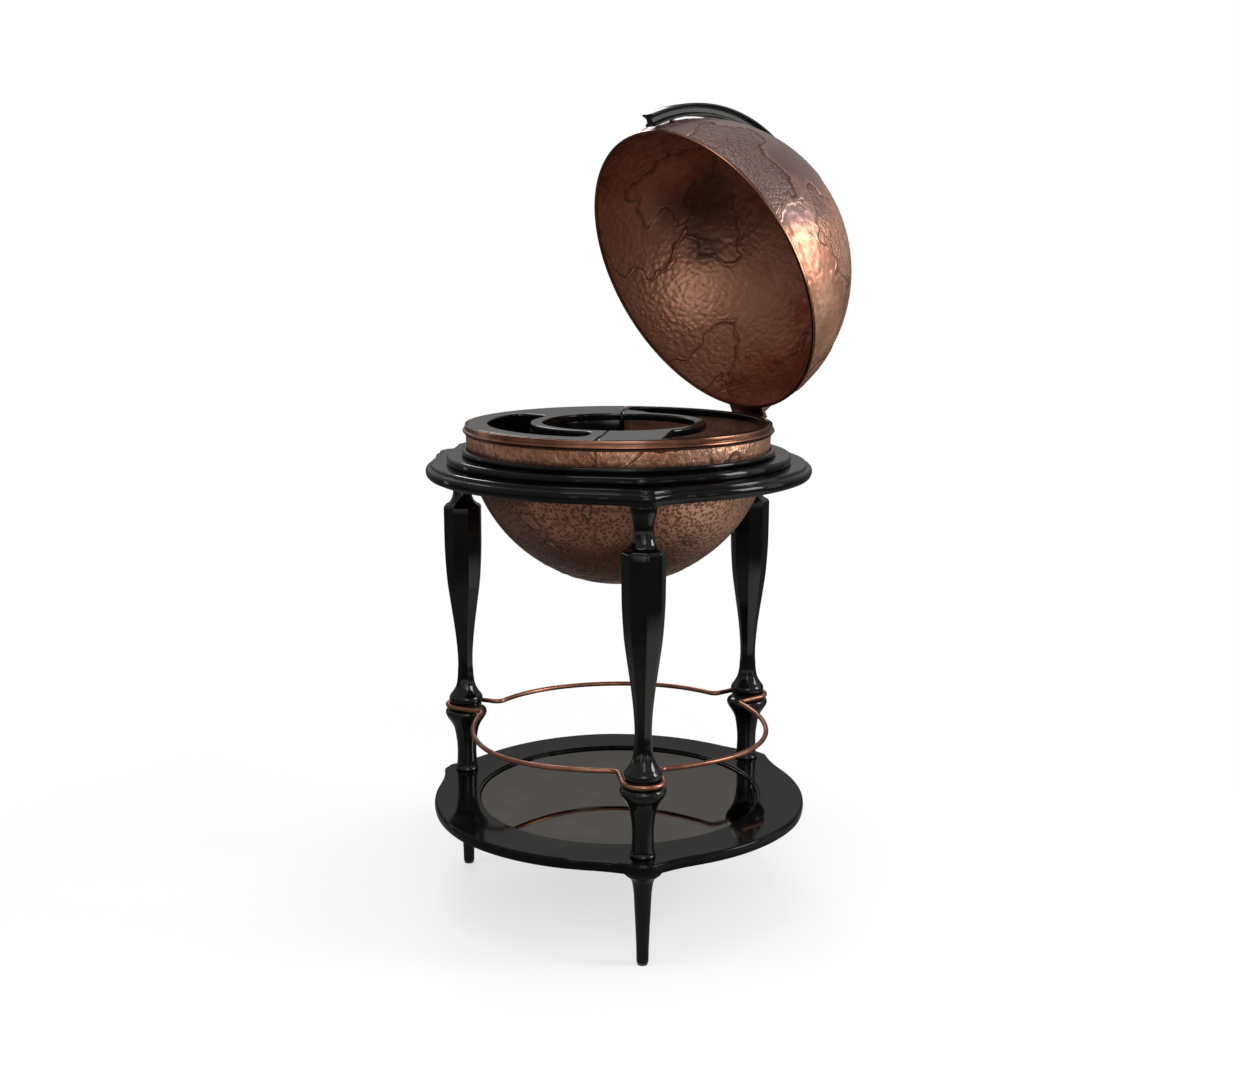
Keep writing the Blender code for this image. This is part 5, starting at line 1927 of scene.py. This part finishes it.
    def bay(self) -> list[Plan]:
        """Plan outline of the large bottle opening.

        Returns:
            The outline.
        """
        width = self.bay_outer - self.pocket_inner
        swing = self.bay_back_outer - self.bay_back_inner
        tip = [polar(self.bay_outer, self.bay_back_outer)]
        for reach, lead in self.bay_tip_shares:
            tip.append(polar(self.pocket_inner + width * reach, self.bay_back_outer + swing * lead))
        tip.append(polar(self.pocket_inner, self.bay_back_inner))
        return (
            arc(self.bay_outer, self.bay_front_outer, self.bay_back_outer)
            + flow(tip)[1:-1]
            + arc(self.pocket_inner, self.bay_back_inner, self.bay_front_inner)
        )

    def board(self, start: float, end: float) -> list[Plan]:
        """Plan outline of a serving board between two seams.

        Args:
            start: Angle of the first seam.
            end: Angle of the second seam.

        Returns:
            The outline.
        """
        start += self.seam_half
        end -= self.seam_half
        return arc(self.board_radius, start, end) + arc(self.well_radius, end, start)

    def liner(self) -> bpy.types.Mesh:
        """The open tray under the pocket.

        Returns:
            The mesh.
        """
        outer = self.pocket(self.liner_wall)
        inner = self.pocket()
        low = self.liner_floor
        rings = [
            [(x, y, low) for x, y in outer],
            [(x, y, self.under_boards) for x, y in outer],
            [(x, y, self.under_boards) for x, y in inner],
            [(x, y, low + self.liner_wall) for x, y in inner],
        ]
        return skinned("pocket_liner", rings)

    def build(self, shop: Workshop) -> None:
        """Sets up the bowl and what it holds.

        Args:
            shop: The workshop that sets pieces up.
        """
        shop.set_up("bowl_hammered", self.shell(), BOWL_COPPER, Body.STAND, ["bowl"])
        shop.set_up("rim_band_rolled", self.band(), BAND_COPPER, Body.STAND, ["rim_band"])
        boards = {
            "left": [self.board(self.back_seam, self.front_seam + FULL_TURN), self.pocket()],
            "right": [self.board(self.front_seam, self.back_seam), self.bay()],
        }
        for side, outlines in boards.items():
            mesh = plate(f"board_{side}", outlines, self.board_low, self.board_high, self.board_edge)
            shop.set_up(f"board_{side}", mesh, LACQUER, Body.STAND, [f"tray_{side}"])
        shop.set_up("pocket_tray", self.liner(), LACQUER, Body.STAND, ["pocket_liner"])
        clear = (self.divider_thickness / 2.0 + self.divider_clear) / self.well_radius
        start = self.back_seam + clear
        end = self.front_seam + FULL_TURN - clear
        wall = arc(self.well_radius + self.well_wall, start, end) + arc(self.well_radius, end, start)
        mesh = plate("well_side", [wall], self.well_low, self.under_boards, self.wall_edge)
        shop.set_up("well_side", mesh, LACQUER, Body.STAND, ["well_wall"])
        shop.dress(["well_floor", "bay_floor", "divider_front", "divider_back"], LACQUER)


@dataclass
class Lid:
    """The globe's upper half with its hoop, and the meridian arc on its posts."""

    radius: float = 0.260
    centre: float = 0.832
    sheet: float = 0.002
    hoop_width: float = 0.0044
    hoop_low: float = 0.8322
    hoop_high: float = 0.8367
    dome_low: float = 0.8370
    arc_inner: float = 0.2640
    arc_outer: float = 0.2850
    arc_width: float = 0.0285
    arc_web: float = 0.0150
    arc_start: float = math.radians(2.0)
    arc_end: float = math.radians(174.0)
    arc_steps: int = 160
    inner_flange: tuple[Plan, ...] = (
        (0.30, 0.0), (0.97, 0.0), (1.0, 0.0012), (1.0, 0.0030), (0.86, 0.0042), (0.72, 0.0044),
        (0.70, 0.0058),
    )
    outer_flange: tuple[Plan, ...] = (
        (0.62, 0.0070), (0.64, 0.0052), (0.84, 0.0046), (0.98, 0.0036), (1.0, 0.0016),
        (0.96, 0.0004), (0.70, 0.0), (0.66, 0.0007), (0.60, 0.0007), (0.56, 0.0),
    )
    web_rise: float = 0.0062
    web_drop: float = 0.0074
    arc_flow: int = 3
    arc_ease: float = 0.0003
    post_radius: float = 0.0045
    post_sink: float = 0.0012
    post_foot: tuple[Plan, ...] = ((1.35, -0.0012), (1.3, 0.0006), (1.0, 0.0011))
    post_top: float = 0.8
    post_flow: int = 4
    post_steps: int = 32
    post_degrees: tuple[float, ...] = (12.0, 50.0, 88.0, 126.0, 164.0)
    hoop_ease: float = 0.0007
    hoop_flow: int = 4
    hoop_steps: int = 240
    steps: int = 480
    rows: int = 104
    inner_rows: int = 78
    mouth_clear: float = 0.002
    hinge_rise: float = 0.010

    def relief(self) -> Relief:
        """The land on the dome, clear of its mouth and of the hinge.

        Returns:
            The relief.
        """
        return Relief(
            centre=(0.0, 0.0, self.centre),
            feature_scale=5.2,
            seed=11.0,
            level=0.52,
            land_height=0.0012,
            line_height=0.0009,
            mouth=self.dome_low + self.mouth_clear,
            side=1.0,
            fade=0.010,
            quiet_centre=(0.0, self.radius, self.dome_low + self.hinge_rise),
            quiet_reach=0.062,
        )

    def dome(self) -> bpy.types.Mesh:
        """The dome's outside and inside, joined at the mouth, each with its own finish.

        Returns:
            The mesh.
        """
        inner = self.radius - self.sheet
        above = self.dome_low - self.centre
        outer_rise = math.asin(above / self.radius)
        inner_rise = math.asin(above / inner)
        profile = ball_line(self.radius, self.centre, QUARTER_TURN, outer_rise, self.rows)
        profile += ball_line(inner, self.centre, inner_rise, QUARTER_TURN, self.inner_rows)
        mesh = self.relief().chase(turned("dome_plain", profile, self.steps), DOME_COPPER)
        return line_inside(mesh, Vector((0.0, 0.0, self.centre)), INNER_COPPER)

    def hoop(self) -> bpy.types.Mesh:
        """The flat hoop round the mouth.

        Returns:
            The mesh.
        """
        low, high = self.hoop_low, self.hoop_high
        inner = self.radius - self.hoop_width
        line = [(inner, low), (self.radius, low), (self.radius, high), (inner, high)]
        profile = flow(line, self.hoop_flow, self.hoop_ease, loop=True)
        return turned("lid_hoop", profile, self.hoop_steps, closed=True)

    def arc_section(self) -> list[Plan]:
        """Half of the arc's section, from its inner to its outer flange, with beads and grooves.

        Returns:
            The section's points.
        """
        wide = self.arc_width / 2.0
        web = self.arc_web / 2.0
        section = [(wide * share, self.arc_inner + rise) for share, rise in self.inner_flange]
        section += [(web, self.arc_inner + self.web_rise), (web, self.arc_outer - self.web_drop)]
        return section + [(wide * share, self.arc_outer - drop) for share, drop in self.outer_flange]

    def meridian(self) -> bpy.types.Mesh:
        """The moulded I-shaped arc.

        Returns:
            The mesh.
        """
        half = self.arc_section()
        section = half + [(-x, reach) for x, reach in reversed(half)]
        section = flow(section, self.arc_flow, self.arc_ease, loop=True)
        rings = []
        for k in range(self.arc_steps + 1):
            rise = self.arc_start + (self.arc_end - self.arc_start) * k / self.arc_steps
            rings.append([(x, -r * math.cos(rise), self.centre + r * math.sin(rise)) for x, r in section])
        return skinned("meridian_arc", rings)

    def posts(self) -> bpy.types.Mesh:
        """The copper posts under the arc.

        Returns:
            The mesh.
        """
        length = self.arc_inner - self.radius
        line = [(self.post_radius * share, height) for share, height in self.post_foot]
        line += [(self.post_radius, length * self.post_top), (self.post_radius, length)]
        profile = [(0.0, -self.post_sink), *flow(line, self.post_flow), (0.0, length)]
        single = turned("post", profile, self.post_steps)
        rises = [math.radians(degrees) for degrees in self.post_degrees]
        aims = [(0.0, -math.cos(rise), math.sin(rise)) for rise in rises]
        places = [(0.0, y * self.radius, self.centre + z * self.radius) for _, y, z in aims]
        return copied("arc_posts", single, aimed_points("post_places", places, aims), ROD_COPPER)

    def build(self, shop: Workshop) -> None:
        """Sets up the lid.

        Args:
            shop: The workshop that sets pieces up.
        """
        shop.set_up("dome_hammered", self.dome(), DOME_COPPER, Body.LID, ["lid_dome"])
        shop.set_up("hoop_flat", self.hoop(), BAND_COPPER, Body.LID, ["lid_hoop"])
        shop.set_up("meridian_handle", self.meridian(), SHEEN_PAINTED_LACQUER, Body.LID, ["meridian_arc"])
        nodes = [f"arc_post_{number}" for number in range(1, len(self.post_degrees) + 1)]
        shop.set_up("handle_posts", self.posts(), ROD_COPPER, Body.LID, nodes)


@dataclass
class Hinge:
    """The hinge's bracket, leaf, pin and screws."""

    edge: float = 0.0005
    head_radius: float = 0.0040
    head_height: float = 0.0022
    slot_width: float = 0.0009
    slot_depth: float = 0.0008
    head_shares: tuple[Plan, ...] = ((1.0, 0.0), (1.0, 0.35), (0.72, 0.85), (0.0, 1.0))
    head_flow: int = 5
    head_steps: int = 40

    def screw(self) -> bpy.types.Mesh:
        """A domed screw head with a slot.

        Returns:
            The mesh.
        """
        line = [(self.head_radius * out, self.head_height * rise) for out, rise in self.head_shares]
        mesh = turned("screw_head", [(0.0, 0.0), *flow(line, self.head_flow)], self.head_steps)
        slot_low = self.head_height - self.slot_depth
        for vertex in mesh.vertices:
            if abs(vertex.co.x) < self.slot_width / 2.0 and vertex.co.z > slot_low:
                vertex.co.z = slot_low
        return mesh

    def screws(self, shop: Workshop, prefix: str, body: Body, tilt: float) -> None:
        """Puts a screw head where each of a leaf's CAD screws is.

        Args:
            shop: The workshop.
            prefix: What the nodes' names start with.
            body: The body they ride on.
            tilt: The turn of the heads' faces about X from facing back.
        """
        names = [f"{prefix}_{side}" for side in ("left", "right")]
        aim = Matrix.Rotation(tilt, 3, "X") @ Vector((0.0, 1.0, 0.0))
        places = []
        for name in names:
            low, high = (Vector(corner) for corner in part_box(name))
            places.append(tuple((low + high) / 2.0 - aim * self.head_height / 2.0))
        points = aimed_points(f"{prefix}_places", places, [tuple(aim)] * len(places))
        mesh = copied(f"{prefix}_heads", self.screw(), points, BRONZE)
        shop.set_up(f"{prefix}_heads", mesh, BRONZE, body, names, centred=False)

    def build(self, shop: Workshop) -> None:
        """Sets up the hinge.

        Args:
            shop: The workshop that sets pieces up.
        """
        shop.refine("hinge_bracket", BRONZE, Body.STAND, self.edge)
        shop.refine("hinge_leaf", BRONZE, Body.LID, self.edge)
        shop.refine("hinge_pin", ROD_COPPER, Body.STAND, self.edge)
        self.screws(shop, "bracket_screw", Body.STAND, 0.0)
        self.screws(shop, "leaf_screw", Body.LID, shop.to_open.to_euler().x)


@dataclass(frozen=True)
class Strip:
    """An upright light strip on the tent's wall: direction, half width, ends and level."""

    degrees: float
    half_width: float
    low: float
    high: float
    level: float


@dataclass(frozen=True)
class Patch:
    """A soft round light on the tent: centre, reach and level."""

    centre: Place
    reach: float
    level: float


@dataclass(frozen=True)
class Lamp:
    """A softbox: its name, place, width and height, watts, and whether gloss reflects it."""

    name: str
    place: Place
    size: Plan
    power: float
    mirrored: bool = True


@dataclass
class Studio:
    """Pale floor, white surroundings, softboxes, a tent that only gloss sees, and the camera."""

    lens: float = 45.25
    sensor: float = 36.0
    camera_angle: float = math.radians(52.70)
    camera_turn: float = math.radians(52.76)
    camera_pitch: float = math.radians(10.87)
    camera_distance: float = 2.595
    camera_height: float = 1.128
    floor_radius: float = 9.0
    shadow_radius: float = 0.95
    plain_radius: float = 1.45
    floor_lift: float = 0.62
    floor_albedo: float = 0.40
    world_light: float = 0.48
    aim: Place = (0.0, 0.0, 0.75)
    tent_radius: float = 3.5
    tent_height: float = 4.4
    tent_shoulder: float = 3.3
    tent_floor: float = 0.004
    dark_level: float = 0.07
    middle_level: float = 0.15
    pale_level: float = 0.40
    dark_height: float = 0.10
    middle_height: float = 0.80
    pale_height: float = 1.70
    strips: tuple[Strip, ...] = (
        Strip(-62.0, 0.16, 0.05, 1.15, 1.6),
        Strip(14.0, 0.16, 0.05, 1.15, 1.6),
        Strip(60.0, 0.55, 0.05, 2.90, 1.0),
        Strip(208.0, 0.16, 0.05, 1.15, 1.6),
    )
    patches: tuple[Patch, ...] = (
        Patch((0.0, 0.0, 0.0), 1.9, 0.20),
        Patch((1.1, 0.6, 0.0), 0.9, 0.80),
        Patch((2.92, -1.93, 1.9), 1.80, 1.5),
        Patch((1.9, 2.9, 2.4), 1.1, 2.0),
    )
    band_low: float = 0.12
    band_high: float = 0.66
    band_level: float = 0.60
    band_core: float = 0.5
    patch_core: float = 0.4
    strip_core: float = 0.6
    strip_fade: float = 0.12
    front_rise: Span = (-0.2, 0.4)
    warmth: Colour = (1.0, 0.98, 0.95)
    white: Colour = (1.0, 1.0, 1.0)
    bounce: Colour = (0.8, 0.8, 0.8)
    tent_top: float = 0.7
    round_steps: int = 96
    lamps: tuple[Lamp, ...] = (
        Lamp("softbox_left", (-1.2, -2.6, 1.9), (0.9, 1.1), 12.0, False),
        Lamp("softbox_front", (2.4, -1.5, 1.95), (0.5, 1.4), 6.5),
        Lamp("softbox_fill", (2.5, -1.6, 2.0), (1.7, 1.3), 13.0, False),
        Lamp("softbox_right", (2.2, 1.9, 1.7), (0.9, 1.4), 42.0),
        Lamp("softbox_low", (1.6, 2.2, 0.60), (1.2, 0.5), 16.0, False),
        Lamp("softbox_back", (-2.6, 1.2, 2.4), (1.2, 0.9), 18.0),
        Lamp("softbox_top", (0.4, -0.6, 3.4), (1.6, 1.6), 22.0),
    )

    def shown(self, graph: Graph) -> Value:
        """1 for rays from the camera, from gloss and through glass.

        Args:
            graph: The graph that gets the nodes.

        Returns:
            The share.
        """
        path = graph.tree.nodes.new("ShaderNodeLightPath")
        kinds = ("Is Camera Ray", "Is Glossy Ray", "Is Transmission Ray")
        rays = [Value(graph, path.outputs[kind]) for kind in kinds]
        return (rays[0] + rays[1] + rays[2]).least(1.0)

    def world(self) -> None:
        """White where it is seen, and a plain level of light elsewhere."""
        world = bpy.data.worlds.new("studio_surroundings")
        world.use_nodes = True
        bpy.context.scene.world = world
        graph = Graph(world.node_tree)
        strength = self.shown(graph) * (1.0 - self.world_light) + self.world_light
        light = graph.add("ShaderNodeBackground", {}, {"Color": self.white, "Strength": strength})
        graph.end("ShaderNodeOutputWorld", light)

    @staticmethod
    def mixed(graph: Graph, share: Value, under: Value, over: Value) -> Value:
        """Blends a shader over another."""
        return graph.add("ShaderNodeMixShader", {}, {"Fac": share, 1: under, 2: over})

    @staticmethod
    def even(graph: Graph, colour: Colour, strength: float = 1.0) -> Value:
        """An even light."""
        return graph.add("ShaderNodeEmission", {}, {"Color": colour, "Strength": strength})

    def lit(self, graph: Graph, share: Value, under: Value, level: float) -> Value:
        """Blends an even, slightly warm light over a shader."""
        light = self.even(graph, tuple(level * part for part in self.warmth))
        return self.mixed(graph, share, under, light)

    def floor_paint(self, graph: Graph) -> Value:
        """White floor that keeps a soft shadow near the object.

        Args:
            graph: The graph that gets the nodes.

        Returns:
            The shader.
        """
        middle = graph.reach(Finish.place(graph), (0.0, 0.0, 0.0))
        near = 1.0 - graph.smooth(middle, self.shadow_radius, self.plain_radius)
        matt = graph.add("ShaderNodeBsdfDiffuse", {}, {"Color": (self.floor_albedo,) * 3})
        lift = self.even(graph, self.white, self.floor_lift)
        close = graph.add("ShaderNodeAddShader", {}, {0: matt, 1: lift})
        seen = self.mixed(graph, near, self.even(graph, self.white), close)
        bounce = graph.add("ShaderNodeBsdfDiffuse", {}, {"Color": self.bounce})
        return self.mixed(graph, self.shown(graph), bounce, seen)

    def tent_paint(self, graph: Graph) -> Value:
        """What gloss reflects: dark below, paler above, with upright light strips.

        Args:
            graph: The graph that gets the nodes.

        Returns:
            The shader.
        """
        place = Finish.place(graph)
        height = graph.add("ShaderNodeSeparateXYZ", {}, {0: place}, "Z")
        low = graph.smooth(height, self.dark_height, self.middle_height)
        high = graph.smooth(height, self.middle_height, self.pale_height)
        dark = self.even(graph, tuple(self.dark_level * part for part in self.warmth))
        shade = self.lit(graph, low, dark, self.middle_level)
        shade = self.lit(graph, high, shade, self.pale_level)
        middle = (self.band_low + self.band_high) / 2.0
        half = middle - self.band_low
        band = 1.0 - graph.smooth(abs(height - middle), half * self.band_core, half)
        shade = self.lit(graph, band * self.front(graph, place), shade, self.band_level)
        for patch in self.patches:
            away = graph.reach(place, patch.centre)
            share = 1.0 - graph.smooth(away, patch.reach * self.patch_core, patch.reach)
            shade = self.lit(graph, share, shade, patch.level)
        flat = graph.vector("MULTIPLY", place, (1.0, 1.0, 0.0))
        for strip in self.strips:
            away = graph.reach(flat, (*polar(self.tent_radius, math.radians(strip.degrees)), 0.0))
            share = 1.0 - graph.smooth(away, strip.half_width * self.strip_core, strip.half_width)
            share = share * graph.smooth(height, strip.low, strip.low + self.strip_fade)
            share = share * (1.0 - graph.smooth(height, strip.high - self.strip_fade, strip.high))
            shade = self.lit(graph, share, shade, strip.level)
        return shade

    def front(self, graph: Graph, place: Value) -> Value:
        """1 on the tent's camera side and 0 behind the object.

        Args:
            graph: The graph that gets the nodes.
            place: Object coordinates.

        Returns:
            The share.
        """
        aside = QUARTER_TURN - self.camera_turn
        ahead = graph.vector("DOT_PRODUCT", place, (math.cos(aside), -math.sin(aside), 0.0), "Value")
        low, high = self.front_rise
        return graph.smooth(ahead, self.tent_radius * low, self.tent_radius * high)

    def staged(
        self, name: str, profile: Sequence[Plan], looks: str, paint: Callable[[Graph], Value]
    ) -> bpy.types.Object:
        """Adds a round stage object.

        Args:
            name: Its name.
            profile: Its (radius, height) points.
            looks: The name of its material.
            paint: What makes the material's shader.

        Returns:
            The object.
        """
        thing = linked(name, turned(name, profile, self.round_steps))
        thing.data.materials.append(painted(looks, paint))
        thing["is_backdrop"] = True
        return thing

    def hang(self, lamp: Lamp) -> None:
        """Hangs a softbox and aims it at the object's middle.

        Args:
            lamp: The softbox.
        """
        data = bpy.data.lights.new(lamp.name, "AREA")
        data.shape = "RECTANGLE"
        data.size, data.size_y = lamp.size
        data.energy = lamp.power
        thing = linked(lamp.name, data)
        thing.location = lamp.place
        thing.rotation_euler = (Vector(self.aim) - Vector(lamp.place)).to_track_quat("-Z", "Y").to_euler()
        thing.visible_glossy = lamp.mirrored

    def camera(self, axis: Vector) -> None:
        """The photograph's camera.

        Args:
            axis: The globe's axis in the frame.
        """
        data = bpy.data.cameras.new("photograph_view")
        data.lens = self.lens
        data.sensor_width = self.sensor
        data.sensor_fit = "HORIZONTAL"
        thing = linked("photograph_view", data)
        thing.location = (
            axis.x + self.camera_distance * math.sin(self.camera_angle),
            axis.y - self.camera_distance * math.cos(self.camera_angle),
            self.camera_height,
        )
        thing.rotation_euler = (QUARTER_TURN - self.camera_pitch, 0.0, self.camera_turn)
        bpy.context.scene.camera = thing

    def build(self, shop: Workshop) -> None:
        """Sets up the studio.

        Args:
            shop: The workshop that sets pieces up.
        """
        bpy.context.scene.view_settings.view_transform = "Standard"
        self.camera(shop.axis)
        self.world()
        self.staged(
            "studio_floor", [(0.0, 0.0), (self.floor_radius, 0.0)], "studio_floor_white", self.floor_paint
        )
        outline = [
            (0.0, self.tent_floor),
            (self.tent_radius, self.tent_floor),
            (self.tent_radius, self.tent_shoulder),
            (self.tent_radius * self.tent_top, self.tent_height),
            (0.0, self.tent_height),
        ]
        tent = self.staged("tent", outline, "tent_greys", self.tent_paint)
        tent.visible_camera = False
        tent.visible_diffuse = False
        tent.visible_shadow = False
        tent.visible_transmission = False
        for lamp in self.lamps:
            self.hang(lamp)


def corners() -> list[list[float]]:
    """The shown object's box as plain numbers."""
    return [[float(value) for value in corner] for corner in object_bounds()]


def main() -> None:
    """Builds the dressed cabinet and its studio."""
    logging.basicConfig(level=logging.INFO, format="%(name)s: %(message)s")
    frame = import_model()
    shop = Workshop(frame)
    for part in (Studio(), Legs(), Rail(), Boards(), Bowl(), Lid(), Hinge()):
        part.build(shop)
    bpy.context.view_layer.update()


if __name__ == "__main__":
    main()
